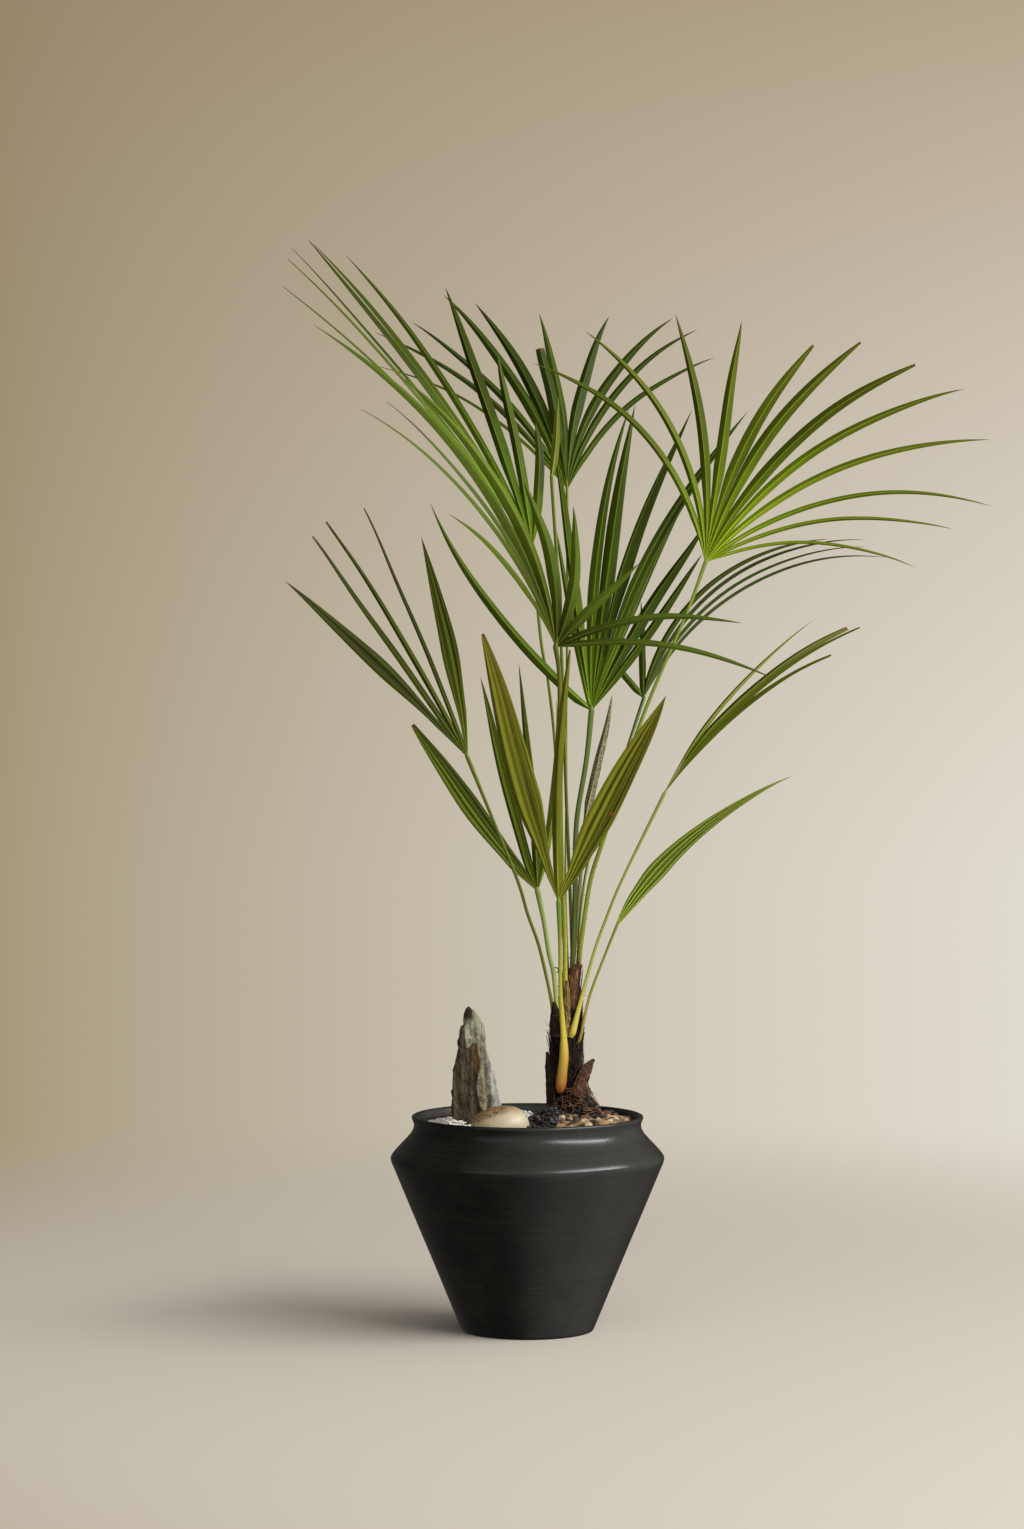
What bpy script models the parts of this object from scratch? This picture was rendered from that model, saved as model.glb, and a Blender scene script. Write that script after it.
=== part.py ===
"""A fan palm in a round black pot, with gravel, a standing stone and a pebble around its trunk.

Lengths in the tables are in millimetres and are turned into metres by MM. +Z is up, the front is -Y,
and the origin is the centre of the pot's underside.
"""

import math

import bmesh
import bpy
from mathutils import Vector

MM = 0.001
GAP = 0.3  # left between pieces that rest on or in each other

# Pot
POT_STEPS = 40
POT_HEIGHT = 172
FOOT_RADIUS = 53
SHOULDER_RADIUS = 110
SHOULDER_HEIGHT = 138
NECK_RADIUS = 91
LIP_RADIUS = 93
WALL = 4.8
FLOOR_THICKNESS = 7

# Filling
SOIL_TOP = 148
GRAVEL_LEVEL = 163
GRAVEL_REACH = 85.8
MOUND_CENTRE = (30, -2)
MOUND_HEIGHT = 14
MOUND_SPREAD = 34
GRAVEL_CELLS = 14

# Where one gravel meets the next, seen from above
WHITE_TO_BLACK = [(-4, -25), (8, 6), (38, 10)]
BLACK_TO_TAN = [(24, -26), (38, 0)]
BACK_BORDER_ANGLE = 73
WHITE_BLACK_ANGLE = 255
BLACK_TAN_ANGLE = 284

# Standing stone: height, left edge, right edge, thickness
STONE_LEVELS = [
    (SOIL_TOP + GAP, -56, -24, 24),
    (176, -58, -21, 26),
    (194, -60, -22, 25),
    (212, -58, -26, 22),
    (230, -55, -34, 18),
    (246, -50, -38, 13),
    (257, -47, -42, 7),
]
STONE_Y = 6

PEBBLE_CENTRE = (-21.5, -35, 168)
PEBBLE_RADII = (23.5, 19, 15)

# Trunk: points up its middle with the radius at each
TRUNK = [
    ((41, -5, 128), 13),
    ((41, -5, 166), 19),
    ((38.5, -4, 178), 16.5),
    ((35, -2.5, 188), 13.6),
    ((32.5, -1, 199), 12.2),
    ((31, 0, 222), 12.2),
    ((31, 0, 255), 12.2),
    ((33, 0, 263), 10.4),
    ((35.5, 0, 271), 8.4),
    ((36, 0, 292.9), 7.6),
]
TRUNK_SIDES = 4  # bevel resolution: 12 sides

OLD_LEAF_BASES = {
    "leaf_base_right": [
        ((42.5, -20.6, 189), 4.3),
        ((44.5, -18.6, 200), 4),
        ((49, -14, 210), 2.6),
        ((53, -10.5, 216), 0.8),
    ],
    "leaf_base_left": [((18.2, -1.5, 186), 1.8), ((17.6, -1, 205), 1.7), ((16, 0, 222), 0.9)],
}

# Leaves
BLADE_THICKNESS = 0.8
FOLD = 0.32  # height of a pleat over its width
HUB_CLEARANCE = 0.5
FREE_ROWS = (0.25, 0.5, 0.75, 1.0)  # along a lobe, past the radius where the lobes part
WIDEST_UNTIL = 0.5
PATH_STEPS = 24
STALK_STEPS = 2  # straight pieces between two points of a stalk's route

# Each lobe: bearing at the hub and at the tip (degrees from +X towards +Z), lean away from the
# front (degrees), length, width, pleats. "stalk" ends at the hub and "radii" are the stalk's at its
# foot and top. "tilt" is how far the blade goes back per unit of X and of Z, and "parting" is the
# radius at which its lobes part.
LEAVES = {
    "right_high": {
        "stalk": [
            (41, -1, 293.6), (43, -6, 314), (50, -14, 361), (61, -22, 397), (90, -34, 489),
            (126, -39, 575), (140, -40, 613),
        ],
        "radii": (2.0, 2.2),
        "tilt": (-0.15, -0.10),
        "parting": 38,
        "lobes": [
            (99, 163, 0, 220, 7, 1),
            (91, 144, 0, 214, 7, 1),
            (86, 108, 0, 198, 8, 1),
            (82, 82, 0, 192, 9, 1),
            (79, 49, 0, 192, 10, 1),
            (73, 37, 0, 214, 10, 1),
            (64, 23, 0, 230, 9, 1),
            (57, 10, 0, 250, 8, 1),
            (48, -2, 0, 250, 7, 1),
            (39, -17, 0, 238, 5, 1),
            (31, -17, 0, 202, 4, 1),
            (23, -27, 0, 170, 4, 1),
        ],
    },
    "centre": {
        "stalk": [
            (36, -4, 293.6), (37, -8, 320), (38, -9, 353), (39, -8, 406), (47, -6, 457),
            (51, -5, 496),
        ],
        "radii": (2.6, 2.5),
        "tilt": (0.05, 0.05),
        "parting": 48,
        "lobes": [
            (141, 115, 0, 212, 8, 1),
            (103, 99, 6, 162, 5, 1),
            (97, 99, 0, 224, 9, 1),
            (93, 73, 0, 246, 9, 1),
            (84, 80, 2, 250, 13, 1),
            (80, 63, -2, 254, 14, 1),
            (76, 49, -7, 270, 13, 2),
            (70, 61, 6, 230, 11, 1),
            (62, 54, 3, 184, 11, 1),
            (52, 57, -2, 154, 8, 1),
        ],
    },
    "left_high": {
        "stalk": [
            (31, -1, 293.6), (25, 7, 360), (23, 12, 456), (17, 16, 518), (11, 18, 553),
            (4, 20, 628),
        ],
        "radii": (1.4, 1.6),
        "tilt": (0.0, 0.2),
        "parting": 50,
        "lobes": [
            (126, 142, -17, 288, 5, 1),
            (125, 136, -12, 302, 6, 1),
            (124, 134, -7, 310, 5, 1),
            (121, 131, -2, 312, 10, 1),
            (118, 133, 3, 316, 8, 1),
            (113, 131, 8, 304, 6, 1),
            (106, 111, 4, 234, 10, 1),
            (97, 104, 2, 168, 8, 1),
            (80, 96, 0, 104, 8, 1),
        ],
    },
    "front": {
        "stalk": [
            (31, -11.2, 267), (30, -14, 285), (29.5, -24, 311), (28, -40, 345), (26, -60, 400),
            (25, -82, 473), (24, -106, 524), (21, -120, 545),
        ],
        "radii": (1.9, 1.9),
        "tilt": (0.0, -0.3),
        "parting": 32,
        "lobes": [
            (112, 146, -20, 150, 6, 1),
            (109, 150, -14, 256, 6, 1),
            (108, 142, -8, 240, 6, 1),
            (105, 149, -2, 318, 10, 1),
            (98, 143, 4, 250, 10, 1),
            (85, 118, 6, 134, 7, 1),
            (66, 101, 4, 112, 7, 1),
            (49, 40, 0, 92, 6, 1),
            (28, -14, -3, 148, 6, 1),
            (10, -27, -6, 174, 5, 1),
        ],
    },
    "low_front": {
        "stalk": [
            (25.4, -16.8, 196), (27.5, -17.6, 215), (28.5, -18, 235), (27.5, -19.5, 254),
            (26, -25, 273), (25.5, -37, 311), (24, -60, 346),
        ],
        "radii": (4.2, 1.9),
        "tilt": (0.0, -0.5),
        "parting": 24,
        "lobes": [
            (107, 104, 0, 240, 19, 3),
            (93, 83, 0, 220, 8, 1),
            (65, 62, 0, 198, 22, 4),
        ],
    },
    "low_left": {
        "stalk": [
            (23.5, -12.4, 256), (21, -12.6, 285), (17, -13, 303), (13, -14, 328),
            (8, -15, 352),
        ],
        "radii": (1.9, 2.0),
        "tilt": (0.0, -0.1),
        "parting": 26,
        "lobes": [
            (130, 123, 4, 166, 18, 4),
            (107, 103, 0, 178, 10, 2),
            (92, 98, -6, 186, 7, 1),
            (77, 92, 2, 154, 7, 1),
        ],
    },
    "left": {
        "stalk": [
            (20.4, -9.2, 253), (17.6, -12, 272), (9, -21, 309), (0, -30, 335), (-8, -38, 362),
            (-28, -52, 412), (-47, -60, 459),
        ],
        "radii": (1.5, 1.8),
        "tilt": (0.1, -0.2),
        "parting": 34,
        "lobes": [
            (131, 141, 0, 202, 11, 2),
            (124, 126, 0, 214, 6, 1),
            (117, 124, 0, 218, 6, 1),
            (110, 115, 0, 214, 5, 1),
            (97, 107, 0, 178, 15, 3),
        ],
    },
    "low_right": {
        "stalk": [
            (42, -8.7, 235), (46, -10, 254), (51, -12, 273), (61, -17, 300), (71, -25, 326),
        ],
        "radii": (1.6, 1.4),
        "tilt": (0.0, -0.3),
        "parting": 24,
        "lobes": [(60, 22, 0, 187, 16, 4)],
    },
    "right_low": {
        "stalk": [
            (36.7, -14.1, 242), (41, -13, 259), (47.5, -9, 283), (54, -4, 305), (64, 2, 326),
            (76, 10, 360), (110, 25, 428),
        ],
        "radii": (2.8, 1.4),
        "tilt": (0.25, 0.25),
        "parting": 30,
        "lobes": [
            (66, 34, 6, 202, 5, 1),
            (60, 22, 2, 209, 5, 1),
            (56, 25, -3, 230, 5, 1),
            (51, 26, -8, 226, 5, 1),
        ],
    },
    "right_back": {
        "stalk": [
            (40, 4, 293.6), (43, 14, 337), (50, 28, 377), (63, 46, 409), (81, 72, 462),
            (96, 90, 506),
        ],
        "radii": (1.5, 1.6),
        "tilt": (0.25, 0.2),
        "parting": 30,
        "lobes": [
            (132, 124, -3, 60, 5, 1),
            (92, 89, 0, 82, 6, 1),
            (79, 1, -9, 224, 6, 1),
            (70, 1, -3, 252, 7, 1),
            (62, 6, 3, 254, 7, 1),
            (52, 8, 9, 280, 5, 1),
        ],
    },
    "top_back": {
        "stalk": [
            (32.5, 3, 293.6), (31, 25, 357), (32, 45, 435), (32, 52, 483), (33, 65, 586),
            (33, 75, 677),
        ],
        "radii": (1.3, 1.4),
        "tilt": (0.0, 0.3),
        "parting": 40,
        "lobes": [
            (127, 166, -4, 192, 4, 1),
            (122, 158, 0, 214, 6, 1),
            (117, 148, 0, 198, 6, 1),
            (109, 135, 0, 202, 9, 1),
            (102, 129, 2, 186, 10, 1),
            (98, 103, -5, 122, 9, 1),
            (91, 107, 4, 162, 10, 1),
            (88, 65, 0, 158, 10, 1),
            (83, 34, 0, 180, 8, 1),
            (76, 27, 0, 184, 6, 1),
            (67, 17, 0, 174, 5, 1),
        ],
    },
    "dry": {
        "stalk": [(37, 5.5, 293.6), (41, 22, 337), (47, 55, 406)],
        "radii": (1.5, 1.3),
        "tilt": (0.0, 0.2),
        "parting": 20,
        "lobes": [(77, 77, 0, 108, 6, 1)],
    },
    "spear": {
        "stalk": [(36, 1, 293.6), (34, -1.5, 353), (31, -8, 425), (26, -14, 568), (19, -20, 681)],
        "radii": (1.5, 1.3),
        "tilt": (0.0, -0.05),
        "parting": 16,
        "lobes": [(81, 90, 0, 64, 5, 1)],
    },
}

# Colour, roughness
FINISHES = {
    "black_ceramic": ((0.022, 0.021, 0.020), 0.45),
    "soil": ((0.035, 0.022, 0.014), 0.95),
    "white_gravel": ((0.75, 0.73, 0.70), 0.8),
    "black_gravel": ((0.03, 0.03, 0.033), 0.6),
    "tan_gravel": ((0.45, 0.30, 0.17), 0.8),
    "slate": ((0.17, 0.16, 0.13), 0.7),
    "cream_stone": ((0.72, 0.58, 0.36), 0.4),
    "fibre": ((0.045, 0.028, 0.018), 0.95),
    "dry_leaf": ((0.24, 0.15, 0.08), 0.8),
    "leaf_green": ((0.16, 0.30, 0.05), 0.5),
    "stalk_green": ((0.33, 0.45, 0.08), 0.45),
}


def start_scene():
    """Empties the scene and gives the collections of the palm and of its cutters."""
    for thing in list(bpy.data.objects):
        bpy.data.objects.remove(thing, do_unlink=True)
    collections = []
    for name in ("potted_fan_palm", "cutters"):
        collection = bpy.data.collections.new(name)
        bpy.context.scene.collection.children.link(collection)
        collections.append(collection)
    collections[1].hide_render = True
    return collections


def finish_material(name):
    material = bpy.data.materials.get(name)
    if material is None:
        colour, roughness = FINISHES[name]
        material = bpy.data.materials.new(name)
        material.use_nodes = True
        shader = material.node_tree.nodes["Principled BSDF"]
        shader.inputs["Base Color"].default_value = (*colour, 1)
        shader.inputs["Roughness"].default_value = roughness
        shader.inputs["Metallic"].default_value = 0
    return material


def add_object(name, data, finish):
    """Puts a mesh or a curve in the palm's collection under its own name."""
    thing = bpy.data.objects.new(name, data)
    palm.objects.link(thing)
    data.materials.append(finish_material(finish))
    return thing


def object_from_bmesh(name, shape, finish):
    bmesh.ops.recalc_face_normals(shape, faces=shape.faces)
    mesh = bpy.data.meshes.new(name)
    shape.to_mesh(mesh)
    shape.free()
    return add_object(name, mesh, finish)


def make_cutter(thing):
    palm.objects.unlink(thing)
    cutters.objects.link(thing)
    thing.hide_render = True
    thing.display_type = "WIRE"
    return thing


def add_boolean(target, cutter, operation="DIFFERENCE"):
    cut = target.modifiers.new(f"{operation.lower()}_{cutter.name}", "BOOLEAN")
    cut.operation = operation
    cut.solver = "EXACT"
    cut.object = cutter


def turned(name, profile, finish):
    """A solid turned about Z from (radius, height) points, up the inside and down the outside."""
    mesh = bpy.data.meshes.new(name)
    points = [(radius * MM, 0, height * MM) for radius, height in profile]
    mesh.from_pydata(points, [(i, i + 1) for i in range(len(points) - 1)], [])
    thing = add_object(name, mesh, finish)
    screw = thing.modifiers.new("turn", "SCREW")
    screw.steps = POT_STEPS
    screw.render_steps = POT_STEPS
    screw.use_merge_vertices = True
    screw.merge_threshold = 0.00001
    screw.use_smooth_shade = True
    return thing


def arc(centre, radius, start, end, steps):
    """Points on an arc in the (radius, height) plane, with its angles in degrees from outward towards up."""
    angles = [math.radians(start + (end - start) * i / steps) for i in range(steps + 1)]
    return [(centre[0] + radius * math.cos(a), centre[1] + radius * math.sin(a)) for a in angles]


def pot_outside():
    """The pot's outer side from lip to foot: a rolled lip, a short neck, a rounded shoulder and a cone."""
    lip = arc((LIP_RADIUS - 2.2, POT_HEIGHT - 2.2), 2.2, 90, -30, 4)
    neck = [(NECK_RADIUS + 0.4, 166), (NECK_RADIUS, 163.5), (NECK_RADIUS + 1, 161)]
    shoulder = [(97.3, 154.5), (104.5, 146.5), (108.3, 141.5)]
    edge = [(SHOULDER_RADIUS - 0.3, SHOULDER_HEIGHT), (SHOULDER_RADIUS - 1, SHOULDER_HEIGHT - 5)]
    foot = [(FOOT_RADIUS + 1, 1.6), (FOOT_RADIUS - 0.4, 0), (0, 0)]
    return lip + neck + shoulder + edge + foot


def pot_inside():
    """The pot's inner side from the middle of its floor up to the lip, as (radius, height)."""
    lean = (SHOULDER_RADIUS - FOOT_RADIUS) / SHOULDER_HEIGHT
    floor_radius = FOOT_RADIUS + lean * FLOOR_THICKNESS - WALL * 1.1
    return [
        (0, FLOOR_THICKNESS),
        (floor_radius - 3, FLOOR_THICKNESS),
        (floor_radius + 1, FLOOR_THICKNESS + 3),
        (SHOULDER_RADIUS - 1 - WALL * 1.15, SHOULDER_HEIGHT - 4),
        (SHOULDER_RADIUS - 1.5 - WALL, SHOULDER_HEIGHT + 1),
        (98, 148),
        (NECK_RADIUS - WALL + 1.5, 160),
        (NECK_RADIUS - WALL + 0.3, 164),
        (LIP_RADIUS - WALL, POT_HEIGHT - 2),
    ]


def make_pot():
    turned("pot", pot_inside() + pot_outside(), "black_ceramic")


def radius_at(profile, height):
    """The radius of a rising (radius, height) profile at one height."""
    for (low_radius, low), (high_radius, high) in zip(profile, profile[1:]):
        if low < high and low <= height <= high:
            return low_radius + (high_radius - low_radius) * (height - low) / (high - low)
    raise ValueError(f"no wall at height {height}")


def make_soil():
    """Soil that fills the pot up to the gravel, with a socket for the foot of the trunk."""
    wall = [point for point in pot_inside()[1:] if point[1] < SOIL_TOP]
    wall.append((radius_at(pot_inside()[1:], SOIL_TOP - GAP), SOIL_TOP - GAP))
    side = [(radius - 2 * GAP, height + GAP) for radius, height in wall]
    # Up the axis stays open, so the profile runs down the outer side and along the bottom.
    soil = turned("soil", [(0, SOIL_TOP)] + side[::-1] + [(0, FLOOR_THICKNESS + GAP)], "soil")
    add_boolean(soil, bpy.data.objects["trunk_cutter"])


def tube_curve(name, points, radii, resolution):
    curve = bpy.data.curves.new(name, "CURVE")
    curve.dimensions = "3D"
    curve.bevel_depth = MM
    curve.bevel_resolution = resolution
    curve.use_fill_caps = True
    spline = curve.splines.new("POLY")
    spline.points.add(len(points) - 1)
    for place, point, radius in zip(spline.points, points, radii):
        place.co = (*(Vector(point) * MM), 1)
        place.radius = radius
    return curve


def tube_solid(name, points, radii, resolution, finish):
    """A tube as a closed mesh, so that Booleans can use it."""
    curve = tube_curve(name + "_curve", points, radii, resolution)
    curve_thing = bpy.data.objects.new(name + "_curve", curve)
    palm.objects.link(curve_thing)
    bpy.context.view_layer.update()
    graph = bpy.context.evaluated_depsgraph_get()
    mesh = bpy.data.meshes.new_from_object(curve_thing.evaluated_get(graph))
    place = curve_thing.matrix_world.copy()
    bpy.data.objects.remove(curve_thing, do_unlink=True)
    shape = bmesh.new()
    shape.from_mesh(mesh)
    bpy.data.meshes.remove(mesh)
    bmesh.ops.remove_doubles(shape, verts=shape.verts, dist=0.00001)
    thing = object_from_bmesh(name, shape, finish)
    thing.matrix_world = place
    return thing


def make_trunk():
    points = [point for point, _ in TRUNK]
    radii = [radius for _, radius in TRUNK]
    tube_solid("trunk", points, radii, TRUNK_SIDES, "fibre")
    socket = [Vector(points[0]) - Vector((0, 0, GAP)), *points[1:]]
    wider = [radius + GAP + 0.1 for radius in radii]
    make_cutter(tube_solid("trunk_cutter", socket, wider, TRUNK_SIDES, "fibre"))


def make_old_leaf_bases():
    for name, route in OLD_LEAF_BASES.items():
        tube_solid(name, [p for p, _ in route], [r for _, r in route], 2, "dry_leaf")


def stone_shape(name, grow):
    """A tapering slab with stepped edges; grow widens it on every side for the hole it stands in."""
    shape = bmesh.new()
    bmesh.ops.create_cube(shape, size=1)
    upright = [e for e in shape.edges if abs(e.verts[0].co.z - e.verts[1].co.z) > 0.5]
    bmesh.ops.subdivide_edges(shape, edges=upright, cuts=len(STONE_LEVELS) - 2)
    across = [e for e in shape.edges if abs(e.verts[0].co.x - e.verts[1].co.x) > 0.5]
    bmesh.ops.subdivide_edges(shape, edges=across, cuts=1)
    for vert in shape.verts:
        level = round((vert.co.z + 0.5) * (len(STONE_LEVELS) - 1))
        height, left, right, thickness = STONE_LEVELS[level]
        middle = abs(vert.co.x) < 0.25
        x = left - grow + (right - left + 2 * grow) * (vert.co.x + 0.5)
        half = thickness / 2 + grow + (2.5 if middle else -1.5)
        y = STONE_Y + math.copysign(half, vert.co.y)
        z = height + (grow if level else -grow) * (level in (0, len(STONE_LEVELS) - 1))
        vert.co = Vector((x, y, z)) * MM
    return object_from_bmesh(name, shape, "slate")


def pebble_shape(name, grow):
    shape = bmesh.new()
    bmesh.ops.create_icosphere(shape, subdivisions=3, radius=1)
    for vert in shape.verts:
        stretched = [c * (r + grow) for c, r in zip(vert.co, PEBBLE_RADII)]
        vert.co = (Vector(PEBBLE_CENTRE) + Vector(stretched)) * MM
    for face in shape.faces:
        face.smooth = True
    return object_from_bmesh(name, shape, "cream_stone")


def make_stones():
    stone_shape("standing_stone", 0)
    make_cutter(stone_shape("stone_cutter", GAP))
    pebble_shape("pebble", 0)
    make_cutter(pebble_shape("pebble_cutter", GAP))


def gravel_height(x, y):
    """The top of the gravel: level, heaped round the foot of the trunk."""
    away = math.hypot(x - MOUND_CENTRE[0], y - MOUND_CENTRE[1])
    lumps = 0.5 * math.sin(0.31 * x + 0.17 * y) + 0.4 * math.cos(0.23 * y - 0.29 * x)
    return GRAVEL_LEVEL + MOUND_HEIGHT * math.exp(-((away / MOUND_SPREAD) ** 2)) + lumps


def gravel_arc(start, end):
    """Plan points along the inside of the pot, between two angles in degrees."""
    steps = max(2, round((end - start) * POT_STEPS / 360))
    angles = [math.radians(start + (end - start) * i / steps) for i in range(steps + 1)]
    return [(GRAVEL_REACH * math.cos(a), GRAVEL_REACH * math.sin(a)) for a in angles]


def gravel_bed(name, outline, finish):
    """A bed with a heaped top, bounded by a plan outline, with holes where things stand in it."""
    bottom = SOIL_TOP + GAP
    shape = bmesh.new()
    cells = {"x_segments": GRAVEL_CELLS, "y_segments": GRAVEL_CELLS}
    bmesh.ops.create_grid(shape, **cells, size=SHOULDER_RADIUS)
    for vert in shape.verts:
        vert.co.z = gravel_height(vert.co.x, vert.co.y)
    grown = bmesh.ops.extrude_face_region(shape, geom=shape.faces[:])
    for item in grown["geom"]:
        if isinstance(item, bmesh.types.BMVert):
            item.co.z = bottom
    bmesh.ops.scale(shape, vec=(MM, MM, MM), verts=shape.verts)
    bed = object_from_bmesh(name, shape, finish)

    plan = bmesh.new()
    corners = [plan.verts.new((x * MM, y * MM, (bottom - 5) * MM)) for x, y in outline]
    floor = plan.faces.new(corners)
    raised = bmesh.ops.extrude_face_region(plan, geom=[floor])
    for item in raised["geom"]:
        if isinstance(item, bmesh.types.BMVert):
            item.co.z = (POT_HEIGHT + 30) * MM
    region = make_cutter(object_from_bmesh(name + "_region", plan, finish))
    add_boolean(bed, region, "INTERSECT")
    for cutter in ("trunk_cutter", "stone_cutter", "pebble_cutter"):
        add_boolean(bed, bpy.data.objects[cutter])


def make_gravel():
    """Three gravels side by side, each drawn back a little from the lines where they meet."""
    back = GAP * 0.8
    low_left = [(x - back, y + back) for x, y in WHITE_TO_BLACK]
    low_right = [(x + back, y - back) for x, y in WHITE_TO_BLACK]
    tan_left = [(x - back, y) for x, y in BLACK_TO_TAN]
    tan_right = [(x + back, y) for x, y in BLACK_TO_TAN]
    step = math.degrees(2 * GAP / GRAVEL_REACH)
    white = gravel_arc(BACK_BORDER_ANGLE + step, WHITE_BLACK_ANGLE - step) + low_left
    gravel_bed("gravel_white", white, "white_gravel")
    black = gravel_arc(WHITE_BLACK_ANGLE + step, BLACK_TAN_ANGLE - step) + tan_left + low_right[::-1]
    gravel_bed("gravel_black", black, "black_gravel")
    tan = gravel_arc(BLACK_TAN_ANGLE + step - 360, BACK_BORDER_ANGLE - step)
    gravel_bed("gravel_tan", tan + [low_right[-1]] + tan_right[::-1], "tan_gravel")


def smooth_route(points, steps):
    """Points along a Catmull-Rom curve through the given ones."""
    points = [Vector(p) for p in points]
    ends = [points[0] * 2 - points[1], *points, points[-1] * 2 - points[-2]]
    route = []
    for before, start, end, after in zip(ends, ends[1:], ends[2:], ends[3:]):
        for i in range(steps):
            t = i / steps
            bend = (end - before) * t + (before * 2 - start * 5 + end * 4 - after) * t * t
            bend += (start * 3 - before - end * 3 + after) * t**3
            route.append(start + bend / 2)
    return [*route, points[-1]]


def make_stalk(name, leaf):
    """A tapering stalk that ends in a rounded knuckle at the blade's hub."""
    base, top = leaf["radii"]
    route = smooth_route(leaf["stalk"], STALK_STEPS)
    radii = [base + (top - base) * min(1, 2 * i / (len(route) - 1)) for i in range(len(route))]
    onward = (route[-1] - route[-2]).normalized()
    for angle in (30, 60):
        route.append(Vector(leaf["stalk"][-1]) + onward * top * math.sin(math.radians(angle)))
        radii.append(top * math.cos(math.radians(angle)))
    finish = "dry_leaf" if "dry" in name else "stalk_green"
    add_object(name, tube_curve(name, route, radii, 2), finish)


class Blade:
    """The pleated fan of one leaf: lobes that share their seams near the hub and part further out."""

    def __init__(self, leaf):
        self.hub = Vector(leaf["stalk"][-1])
        self.start = leaf["radii"][1] + HUB_CLEARANCE
        self.parting = leaf["parting"]
        self.lobes = leaf["lobes"]
        self.front = Vector((leaf["tilt"][0], -1, leaf["tilt"][1])).normalized()
        self.paths = [self.lobe_path(leaf["tilt"], lobe) for lobe in self.lobes]

    def lobe_path(self, tilt, lobe):
        """Points along a lobe's middle, evenly spaced from the hub to the tip."""
        first, last, lean, length = lobe[:4]
        point = self.hub.copy()
        path = [point.copy()]
        for i in range(PATH_STEPS):
            bearing = math.radians(first + (last - first) * (i + 0.5) / PATH_STEPS)
            x, z = math.cos(bearing), math.sin(bearing)
            way = Vector((x, tilt[0] * x + tilt[1] * z + math.tan(math.radians(lean)), z))
            point = point + way.normalized() * length / PATH_STEPS
            path.append(point)
        return path

    def middle(self, i, distance):
        """The point of lobe i at this distance along it, or its tip past the end."""
        place = min(distance / self.lobes[i][3], 1) * PATH_STEPS
        low = min(int(place), PATH_STEPS - 1)
        return self.paths[i][low].lerp(self.paths[i][low + 1], place - low)

    def way(self, i, distance):
        return (self.middle(i, distance) - self.middle(i, distance - 2)).normalized()

    def seam(self, i, side, distance):
        """Where lobe i meets its neighbour on this side (-1 or 1), or its outer edge if it has none."""
        here = self.middle(i, distance)
        neighbour = i + side
        if 0 <= neighbour < len(self.lobes):
            return (here + self.middle(neighbour, distance)) / 2
        if len(self.lobes) == 1:
            half = min(self.lobes[i][4] / 2, 1 + 0.16 * distance)
            return here + self.way(i, distance).cross(self.front) * side * half
        away = here - self.seam(i, -side, distance)
        return here + away.normalized() * min(away.length, self.lobes[i][4] / 2)

    def across(self, i, distance):
        """A unit vector across lobe i, from its low side to its high side."""
        at = min(distance, self.parting)
        span = self.seam(i, 1, at) - self.seam(i, -1, at)
        way = self.way(i, distance)
        return (span - way * span.dot(way)).normalized()

    def edge(self, i, side, distance):
        """The edge of lobe i: its seam near the hub, and a taper to the tip past the parting."""
        if distance <= self.parting:
            return self.seam(i, side, distance)
        length, width = self.lobes[i][3:5]
        along = (distance - self.parting) / (length - self.parting)
        at_parting = (self.seam(i, side, self.parting) - self.middle(i, self.parting)).length
        half = width / 2 * min(1, (1 - along) / (1 - WIDEST_UNTIL))
        half = max(half, at_parting * (1 - along / FREE_ROWS[0])) if along < FREE_ROWS[0] else half
        neighbour = i + side
        if 0 <= neighbour < len(self.lobes):
            room = (self.middle(i, distance) - self.middle(neighbour, distance)).length
            half = min(half, room * 0.44)
        return self.middle(i, distance) + self.across(i, distance) * side * half

    def point(self, i, u, distance):
        """The blade's surface on lobe i, u of the way across it (0 to 1)."""
        pleats = self.lobes[i][5]
        low, high = self.edge(i, -1, distance), self.edge(i, 1, distance)
        here = self.middle(i, distance)
        flat = low.lerp(here, 2 * u) if u < 0.5 else here.lerp(high, 2 * u - 1)
        up = self.across(i, distance).cross(self.way(i, distance))
        if up.dot(self.front) < 0:
            up.negate()
        ridge = 1 - abs(u * pleats % 1 * 2 - 1)
        return flat + up * ridge * FOLD * (high - low).length / pleats

    def distances(self, i):
        free = self.lobes[i][3] - self.parting
        return [self.start, self.parting / 2, self.parting, *(self.parting + free * t for t in FREE_ROWS)]

    def add_lobe(self, shape, i):
        columns = 2 * self.lobes[i][5]
        rows = self.distances(i)
        grid = bmesh.ops.create_grid(shape, x_segments=columns, y_segments=len(rows) - 1, size=0.5)
        for vert in grid["verts"]:
            row = round((vert.co.y + 0.5) * (len(rows) - 1))
            vert.co = self.point(i, vert.co.x + 0.5, rows[row]) * MM


def make_blade(name, leaf):
    blade = Blade(leaf)
    shape = bmesh.new()
    for i in range(len(blade.lobes)):
        blade.add_lobe(shape, i)
    bmesh.ops.remove_doubles(shape, verts=shape.verts, dist=0.000002)
    finish = "dry_leaf" if "dry" in name else "leaf_green"
    thing = object_from_bmesh(name, shape, finish)
    thickness = thing.modifiers.new("thickness", "SOLIDIFY")
    thickness.thickness = BLADE_THICKNESS * MM
    thickness.offset = 0


def make_leaves():
    for name, leaf in LEAVES.items():
        make_stalk(f"stalk_{name}", leaf)
        make_blade(f"blade_{name}", leaf)


palm, cutters = start_scene()
make_trunk()
make_old_leaf_bases()
make_stones()
make_pot()
make_soil()
make_gravel()
make_leaves()
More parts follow.
